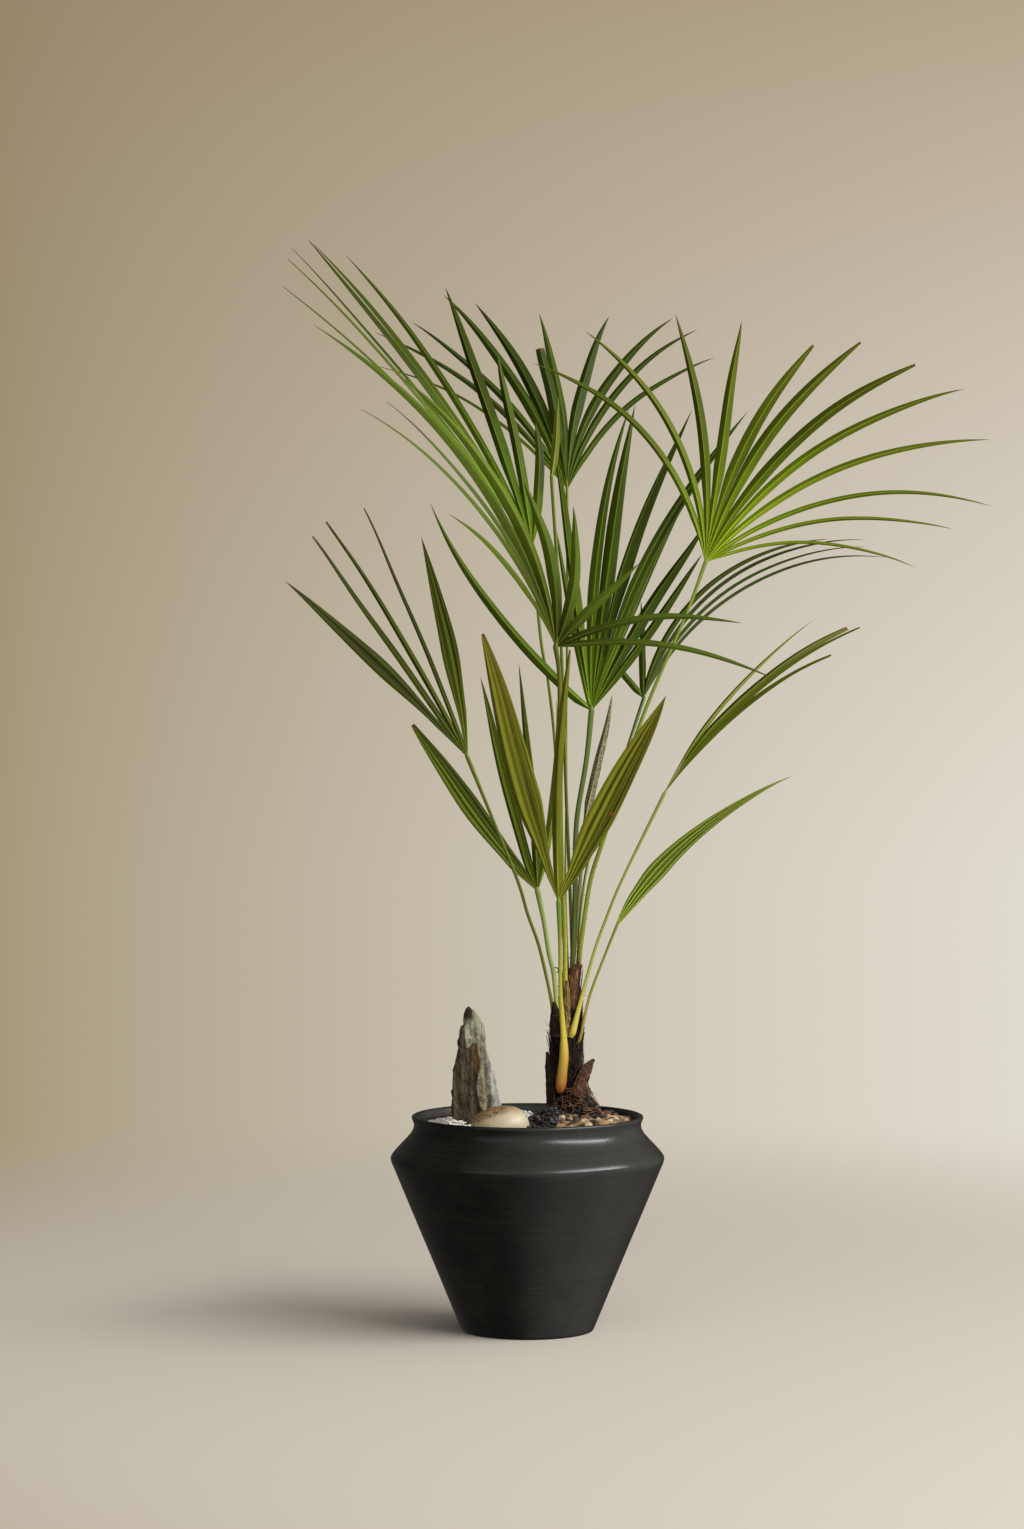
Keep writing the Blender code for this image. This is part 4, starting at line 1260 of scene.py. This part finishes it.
def stonePaint():
    paint = Paint("slateLayers", Specular_IOR_Level=0.3)
    place = paint.place()
    x, _, z = paint.split(place)
    wander = (paint.noise(paint.place((1, 1, 0.3)), 0.09, 3, 0.6) - 0.5) * 14
    upright = paint.noise(paint.place((1, 1, 0.16)), 0.24, 4, 0.6)
    blotch = paint.noise(place, 0.16, 4, 0.65)
    grain = paint.noise(place, 0.9, 4, 0.7)
    cracks = paint.noise(paint.place((1.4, 1.4, 0.12), (0, 0.16, 0)), 0.4, 4, 0.6).rise(0.56, 0.66)
    mottle = (upright * 0.6 + blotch * 0.4).rise(0.35, 0.65)
    across = x + wander * 0.7

    def mottled(dark, light):
        return paint.mix(mottle, rgb(*dark), rgb(*light))

    # a dark band of painted shadow runs up between the brown plate and a light ridge, with rust above its
    # bend
    seam = x + wander * 0.2 - abs(z - 196) * 0.18
    rusted = (x + wander * 0.3).rise(-46.4, -42.6) * (z + wander * 0.6).rise(192, 212)
    ridgeShadow = (1 - abs(seam + 42.9).rise(0.7, 2.8)) * 0.85 * (1 - z.rise(198, 214))
    high = (z + wander * 0.5 - (x + 45) * 0.8).rise(227, 230) * (x + (z - 235) * 0.1).rise(-50.5, -48.5)
    cap = (z + wander * 0.4).rise(246, 251) * (1 - (x + wander * 0.2).rise(-45.5, -43))
    colour = paint.coats(
        mottled((40, 32, 22), (82, 72, 55)),
        (rusted, mottled((56, 34, 16), (104, 74, 42))),
        (seam.rise(-41.6, -40.6), mottled((90, 84, 62), (176, 170, 142))),
        # painted shadow: the dark band to the left of the light ridge
        (ridgeShadow, rgb(26, 21, 15)),
        ((across + (z - 215) * 0.2).rise(-38.5, -36), mottled((74, 72, 54), (160, 156, 130))),
        ((across + (z - 190) * 0.14).rise(-31, -27), mottled((150, 153, 150), (212, 212, 206))),
        (high, mottled((102, 102, 84), (188, 188, 164))),
        (cap, rgb(50, 47, 38)),
        (cracks * 0.55, rgb(46, 39, 30)),
        (grain.rise(0.5, 0.8) * 0.28, rgb(168, 158, 132)),
    )
    paint.wear(Base_Color=colour, Roughness=0.62 + grain * 0.25)
    paint.bump(upright + grain * 0.5 - cracks * 0.4, 0.9, 0.9)
    return paint


def makeStone():
    slab = joined([makePlate(*plate) for plate in stone["plates"]])
    blend = slab.modifiers.new("blend", "REMESH")
    blend.mode = "VOXEL"
    blend.voxel_size = stone["voxel"] * mm
    applyModifiers(slab)
    chiselled(slab)
    finishPiece(slab, "slate", stonePaint(), ["standing_stone"], 24)


def pebblePaint():
    paint = Paint("creamPebble", Specular_IOR_Level=0.5)
    place = paint.place()
    x, _, z = paint.split(place)
    cloud = paint.noise(place, 0.06, 3, 0.6)
    # a brown, speckled patch over the upper left
    patch = (z - (x + 38) * 0.32 + (cloud - 0.5) * 6).rise(170.5, 173) * (1 - (x + cloud * 8).rise(-16, -8))
    specks = paint.noise(paint.place((0.6, 1, 1.3)), 0.5, 4, 0.8).rise(0.49, 0.56)
    colour = paint.coats(
        rgb(170, 152, 116),
        ((x + cloud * 20).rise(-34, 2), rgb(190, 181, 156)),
        ((z + cloud * 6 - (x + 22) * 0.1).rise(176, 186) * 0.75, rgb(146, 108, 66)),
        (patch * (0.25 + specks * 0.65), rgb(64, 38, 22)),
    )
    paint.wear(Base_Color=colour, Roughness=0.34 + cloud * 0.14)
    paint.bump(paint.noise(place, 0.5, 3, 0.6), 0.15, 0.4)
    return paint


def makePebble():
    bpy.ops.mesh.primitive_uv_sphere_add(segments=64, ring_count=40, radius=1)
    ball = bpy.context.object
    reach = pebble["reach"]
    for vert in ball.data.vertices:
        spot = vert.co
        rough = 1 + pebble["uneven"] * noise.noise(spot * 1.3)
        side = spot.x + pebble["lean"] * (1 - spot.x**2) * max(spot.z, 0)
        vert.co = Vector((side * reach[0], spot.y * reach[1], spot.z * reach[2])) * rough * mm
    ball.location = Vector(pebble["middle"]) * mm
    finishPiece(ball, "cream_pebble", pebblePaint(), ["pebble"], 60)


makeStone()
makePebble()
print("stones set")

# The trunk: bark, torn sheaths, fibres, roots and two old leaf bases

trunk = {
    # height, middle x and y, radius
    "rows": [
        (158, 41, -5, 19.6), (166, 41, -5, 19), (172, 40, -4.6, 17.8), (178, 38.5, -4, 16.2),
        (188, 35, -2.5, 13.5), (199, 32.5, -1, 12.1), (222, 31, 0, 12), (244, 31, 0, 11.9),
        (255, 31.4, 0, 11.0), (262, 32.6, 0, 8.8), (268, 34, 0, 7.1), (276, 34.8, 0, 6.9),
        (285, 35.4, 0, 7.2), (293.5, 36, 0, 7.8),
    ],
    "sides": 72,
    "rings": 96,
    "lobes": 0.05,  # how far the bark swells between its furrows, as a share of the radius
    "topInset": 0.16,  # the width of the torn rim, as a share of the radius
    "tornFrom": 0.9,  # the share of the height from which the top is torn
    "hollow": 7,
    "dark": rgb(7, 5, 4),
    "middle": rgb(20, 14, 10),
    "light": rgb(80, 60, 38),
    "root": rgb(122, 90, 62),
}
flakes = {
    "count": 46, "foot": (176, 268, 205), "length": (12, 30), "width": (2.2, 5.5),
    "lean": 0.35, "lift": (0.4, 3.2), "thickness": 0.45,
}
lowestRoot = 165  # the height at which a root runs on over the soil
remnantThickness = 0.8
# What is left of leaf bases and sheaths: points up the middle, the width at each, how hollow, and the way out
remnants = {
    "old_base_right": {
        "points": [(39.3, -20.5, 189), (43.4, -18.6, 201), (48.4, -14.6, 211.5), (53, -11, 217.5)],
        "widths": [10, 10, 7.2, 2], "cup": 1.8, "out": (0.25, -1, 0.1), "replaces": ["leaf_base_right"],
        "colours": [rgb(30, 18, 12), rgb(84, 53, 38), rgb(132, 96, 70)],
    },
    "old_base_left": {
        "points": [(18.6, -5.5, 180), (17.6, -5, 196), (16.6, -4, 211), (15.6, -3.5, 223)],
        "widths": [9, 8, 6.5, 2.2], "cup": 1.2, "out": (-0.8, -1, 0), "replaces": ["leaf_base_left"],
        "colours": [rgb(24, 17, 14), rgb(50, 36, 27), rgb(84, 62, 44)],
    },
    "neck_sheath": {
        "points": [
            (35.5, -9.6, 250), (36.4, -10, 264), (36.2, -10.4, 277), (37.6, -9.8, 287), (41.4, -8.6, 295.5),
        ],
        "widths": [4, 6, 8, 6.5, 0.8], "cup": 1.4, "out": (0.2, -1, 0.1),
        "colours": [rgb(44, 27, 15), rgb(104, 68, 41), rgb(170, 134, 86)],
    },
    "front_sheath": {
        "points": [(30, -13.4, 236), (30.6, -14.2, 250), (31.1, -14.8, 266), (31.4, -15, 281)],
        "widths": [6, 6.5, 5.5, 1.6], "cup": 1.0, "out": (-0.1, -1, 0.05),
        "colours": [rgb(70, 56, 29), rgb(130, 112, 58), rgb(190, 170, 104)],
    },
    "left_sheath": {
        "points": [(22.8, -12.4, 236), (22.4, -14, 247), (21.8, -15, 256), (20.8, -14.6, 264)],
        "widths": [9, 8.5, 6.5, 1], "cup": 1.8, "out": (-0.35, -1, 0.05),
        "colours": [rgb(16, 11, 7), rgb(48, 34, 20), rgb(104, 80, 50)],
    },
    "back_sheath": {
        "points": [(37, 9.4, 244), (37.6, 9, 260), (37, 9.4, 276), (35, 10, 289)],
        "widths": [12, 13, 10, 1.5], "cup": 2.2, "out": (0.1, 1, 0.1),
        "colours": [rgb(58, 33, 22), rgb(112, 74, 48), rgb(180, 150, 112)],
    },
    "side_sheath": {
        "points": [(24, 4.5, 240), (26, 4.6, 256), (27.6, 4.4, 270), (27.4, 4.6, 280)],
        "widths": [9, 8.5, 6, 1], "cup": 1.4, "out": (-1, 0.4, 0.1),
        "colours": [rgb(46, 31, 22), rgb(96, 70, 46), rgb(150, 120, 84)],
    },
}


def trunkRow(z):
    # the trunk's middle x and y and its radius at this height
    rows = trunk["rows"]
    z = min(max(z, rows[0][0]), rows[-1][0])
    for low, high in zip(rows, rows[1:]):
        if z <= high[0]:
            t = (z - low[0]) / (high[0] - low[0])
            return [a + (b - a) * t for a, b in zip(low[1:], high[1:])]


def onTrunk(angle, z, lift=0.0):
    # a point on the bark, or lifted off it, at this angle (radians from +X towards +Y) and height
    x, y, radius = trunkRow(z)
    reach = radius * (1 + trunk["lobes"] * abs(math.sin(2.5 * angle + 0.02 * z))) + lift
    return Vector((x + reach * math.cos(angle), y + reach * math.sin(angle), z))


def barkPaint(name, extraNet=0.0):
    paint = Paint(name, Roughness=0.9, Specular_IOR_Level=0.2)
    place = paint.place()
    rising = paint.noise(paint.place((1, 1, 0.2), (0, 0.35, 0.2)), 0.6, 3, 0.6)
    falling = paint.noise(paint.place((1, 1, 0.2), (0.2, -0.4, 0)), 0.65, 3, 0.6)
    clumps = paint.noise(place, 0.16, 4, 0.7)
    net = paint.maths("MAXIMUM", rising, falling)
    paint.wear(Base_Color=paint.coats(
        trunk["dark"],
        (clumps.rise(0.35, 0.65), trunk["middle"]),
        (paint.split(place)[2].rise(252, 272) * 0.6, rgb(78, 52, 34)),  # the neck is redder and paler
        (net.rise(0.56, 0.72) * (0.4 + extraNet), trunk["light"]),
    ))
    paint.bump(net + clumps * 0.5, 0.9, 0.9)
    return paint


def makeBark():
    # a cylinder drawn on to the trunk's rows, roughened, with a torn and hollow top
    rows = trunk["rows"]
    low, high = rows[0][0], rows[-1][0]
    bpy.ops.mesh.primitive_cylinder_add(vertices=trunk["sides"], radius=1, depth=1, end_fill_type="NGON")
    bark = bpy.context.object
    mesh = bmesh.new()
    mesh.from_mesh(bark.data)
    cutUpright(mesh, trunk["rings"] - 2)
    lid = [f for f in mesh.faces if f.normal.z > 0.9]
    wall = bmesh.ops.inset_region(mesh, faces=lid, thickness=trunk["topInset"])["faces"]
    lid = [f for f in mesh.faces if f.normal.z > 0.9 and f not in wall]
    inner = {vert for face in lid for vert in face.verts}
    for vert in mesh.verts:
        angle = math.atan2(vert.co.y, vert.co.x)
        along = vert.co.z + 0.5
        z = low + (high - low) * along
        spot = onTrunk(angle, z)
        flow = noise.fractal(Vector((math.cos(angle) * 3.2, math.sin(angle) * 3.2, z * 0.045)), 0.9, 2.1, 4)
        knots = noise.fractal(spot * 0.3, 0.9, 2.0, 3)
        torn = max(0, (along - trunk["tornFrom"]) / 0.1)
        spot += Vector((math.cos(angle), math.sin(angle), 0)) * (1.0 * flow + 0.5 * knots) * (1 - 0.5 * torn)
        ragged = 2.2 * noise.noise(Vector((math.cos(angle) * 5, math.sin(angle) * 5, 3)))
        spot.z += torn * (3.4 * math.cos(angle) - 3.6 + ragged)
        if vert in inner:
            x, y, _ = trunkRow(z)
            sunk = Vector((0, 0, spot.z - trunk["hollow"]))
            spot = Vector((x, y, 0)).lerp(Vector((spot.x, spot.y, 0)), 0.72) + sunk
        vert.co = spot * mm
    mesh.to_mesh(bark.data)
    mesh.free()
    return bark


def makeFlake(dice):
    # a torn strip of old sheath that lies along the bark and lifts at its tip
    angle = dice.uniform(0, 2 * math.pi)
    foot = dice.triangular(*flakes["foot"])
    length = dice.uniform(*flakes["length"])
    width = dice.uniform(*flakes["width"])
    lean = dice.uniform(-flakes["lean"], flakes["lean"])
    lift = dice.uniform(*flakes["lift"])
    seed = dice.uniform(0, 99)
    bpy.ops.mesh.primitive_grid_add(x_subdivisions=4, y_subdivisions=10, size=1)
    flake = bpy.context.object
    for vert in flake.data.vertices:
        across, along = vert.co.x, vert.co.y + 0.5
        half = width * (1 - along**1.6) * (1 + 0.5 * noise.noise(Vector((seed, along * 4, 0))))
        z = foot + length * along
        radius = trunkRow(z)[2]
        turn = angle + lean * along + across * half / radius
        curl = 0.25 + lift * along**2.2 + 0.3 * abs(across) * noise.noise(Vector((seed, along * 6, across)))
        vert.co = onTrunk(turn, z, curl + 0.4) * mm
    return flake


def makeRemnant(remnant):
    # a tapering scale, hollow towards the trunk, with a frayed edge
    rows = [(*point, width) for point, width in zip(remnant["points"], remnant["widths"])]
    route = smoothRoute(rows, 8)
    bpy.ops.mesh.primitive_grid_add(x_subdivisions=12, y_subdivisions=len(route) - 1, size=1)
    scale = bpy.context.object
    seed = route[0][0]
    for vert in scale.data.vertices:
        row = round((vert.co.y + 0.5) * (len(route) - 1))
        x, y, z, width = route[row]
        ahead, behind = route[min(row + 1, len(route) - 1)], route[max(row - 1, 0)]
        way = (Vector(ahead[:3]) - Vector(behind[:3])).normalized()
        side = way.cross(Vector(remnant["out"])).normalized()
        out = side.cross(way)
        across = vert.co.x * 2
        frayed = 1 + 0.18 * abs(across) * noise.noise(Vector((math.copysign(3, across), row * 0.9, seed)))
        ribs = 0.22 * math.sin(across * 9) + 0.3 * noise.noise(Vector((across * 3, row * 0.25, seed)))
        swell = ribs - remnant["cup"] * (across**2 - 0.4)
        vert.co = (Vector((x, y, z)) + side * across * frayed * width / 2 + out * swell) * mm
    thicken(scale, remnantThickness)
    return scale


def remnantPaint(name, deep, warm, fleck):
    paint = Paint(name + "Fibre", Roughness=0.8, Specular_IOR_Level=0.25)
    strands = paint.noise(paint.place((1.5, 1.5, 0.1)), 0.7, 4, 0.65)
    cloud = paint.noise(paint.place(), 0.15, 3, 0.6)
    flecks = paint.noise(paint.place((1, 1, 0.4)), 0.6, 3, 0.7)
    ground = (strands * 0.6 + cloud * 0.4).rise(0.38, 0.6)
    paint.wear(Base_Color=paint.coats(deep, (ground, warm), (flecks.rise(0.56, 0.66) * 0.8, fleck)))
    paint.bump(strands + cloud * 0.3, 0.5, 0.9)
    return paint


def netFibre(dice):
    # a fibre that winds up the bark, one way or the other
    angle, z = dice.uniform(0, 2 * math.pi), dice.triangular(170, 286, 225)
    turn, climb = dice.choice((-1, 1)) * dice.uniform(0.15, 0.9), dice.uniform(8, 24)
    lift, thick = dice.uniform(0.3, 1.6), dice.triangular(0.1, 0.34, 0.14)
    waver = dice.uniform(0, anyTurn)
    route = []
    for t in (i / 7 for i in range(8)):
        swing = 0.06 * math.sin(waver + 7 * t)
        route.append((onTrunk(angle + turn * t + swing, z + climb * t, lift), thick * (1 - 0.6 * t)))
    return route


def looseHair(dice):
    # a hair that leaves the bark and curls away from it
    angle, z = dice.uniform(0, 2 * math.pi), dice.triangular(176, 288, 262)
    length, thick = dice.uniform(2.5, 8.0), dice.uniform(0.1, 0.2)
    start = onTrunk(angle, z, 0.4)
    way = Vector((math.cos(angle), math.sin(angle), dice.uniform(-0.6, 1.2))).normalized()
    bend = Vector([dice.gauss(0, 1) for _ in range(3)]) * 0.5
    route = []
    for t in (i / 6 for i in range(7)):
        route.append((start + way * length * t + bend * length * t * t * 0.6, thick * (1 - 0.7 * t)))
    return route


def rootRoute(dice):
    # a wiry root that wanders down and round the foot of the trunk
    angle = dice.gauss(-1.0, 1.1)
    z = dice.uniform(174, 197)
    lift = dice.uniform(0.3, 3.0)
    turn = dice.gauss(0, 0.16)
    fall = dice.uniform(0.6, 2.0)
    thick = dice.triangular(0.2, 0.55, 0.28)
    curl, beats = dice.uniform(0, anyTurn), dice.uniform(0.5, 1.4)
    route = []
    for i in range(18):
        spot = onTrunk(angle, z, lift + 1.4 * math.sin(curl + beats * i) ** 2)
        route.append((spot, thick * (1 - 0.5 * i / 17)))
        angle += turn * (0.5 + 0.9 * math.sin(curl + 0.55 * i))
        z += -fall * (0.45 + math.cos(curl * 2 + beats * i * 0.8))
        if z < lowestRoot:
            z = lowestRoot + dice.uniform(0, 1.2)
            lift += 0.9
    return route


def makeCurl():
    # a thin brown tendril that hooks round beside the crown
    route = []
    for i in range(17):
        turn = math.radians(-60 + 275 * i / 16)
        spot = Vector((22.6 + 2.1 * math.cos(turn), -13.5 + 0.05 * i, 289 + 2.2 * math.sin(turn)))
        route.append((spot, 0.55 - 0.02 * i))
    return route


# "cloud" is the size of the tint's noise, and "turn" where it goes from the first colour to the second
strands = {
    "fibre_net": {
        "paint": "fibreNet", "run": netFibre, "count": 340, "roundness": 0,
        "rough": 0.85, "cloud": 0.25, "turn": (0.4, 0.65), "colours": ("middle", "light"),
    },
    "loose_hairs": {
        "paint": "looseHair", "run": looseHair, "count": 90, "roundness": 0,
        "rough": 0.8, "cloud": 0.2, "turn": None, "colours": ("dark", "middle"),
    },
    "roots": {
        "paint": "wiryRoot", "run": rootRoute, "count": 64, "roundness": 1,
        "rough": 0.7, "cloud": 0.18, "turn": (0.4, 0.6), "colours": ("middle", "root"),
    },
}


def strandPaint(strand):
    paint = Paint(strand["paint"], Roughness=strand["rough"])
    tint = paint.noise(paint.place(), strand["cloud"], 3, 0.7)
    if strand["turn"]:
        tint = tint.rise(*strand["turn"])
    paint.wear(Base_Color=paint.mix(tint, *(trunk[colour] for colour in strand["colours"])))
    return paint


def makeTrunk():
    dice = random.Random(3)
    torn = joined([makeFlake(dice) for _ in range(flakes["count"])])
    thicken(torn, flakes["thickness"])
    finishPiece(torn, "sheath_flakes", barkPaint("tornSheath", 0.25), (), 30)
    finishPiece(makeBark(), "bark", barkPaint("bark"), ["trunk"], 50)
    for name, strand in strands.items():
        routes = [strand["run"](dice) for _ in range(strand["count"])]
        if name == "loose_hairs":
            routes.append(makeCurl())
        piece = tubes(routes, strand["roundness"])
        finishPiece(piece, name, strandPaint(strand), (), 60)


def makeRemnants():
    for name, remnant in remnants.items():
        paint = remnantPaint(name, *remnant["colours"])
        nodes = remnant.get("replaces", ())
        finishPiece(makeRemnant(remnant), name, paint, nodes, 40)


makeTrunk()
makeRemnants()
print("trunk built")

# The soil stays as it was packed, with its own finish

def soilPaint():
    paint = Paint("pottingMix", Roughness=0.95)
    crumbs = paint.cells(paint.place(), 0.5)
    cloud = paint.noise(paint.place(), 0.25, 4, 0.7)
    paint.wear(Base_Color=paint.mix(cloud, rgb(44, 32, 24), rgb(84, 64, 48)))
    paint.bump(crumbs + cloud * 0.5, 1.2, 0.9)
    return paint


wearPaint(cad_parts["soil"], soilPaint())
print("soil painted")
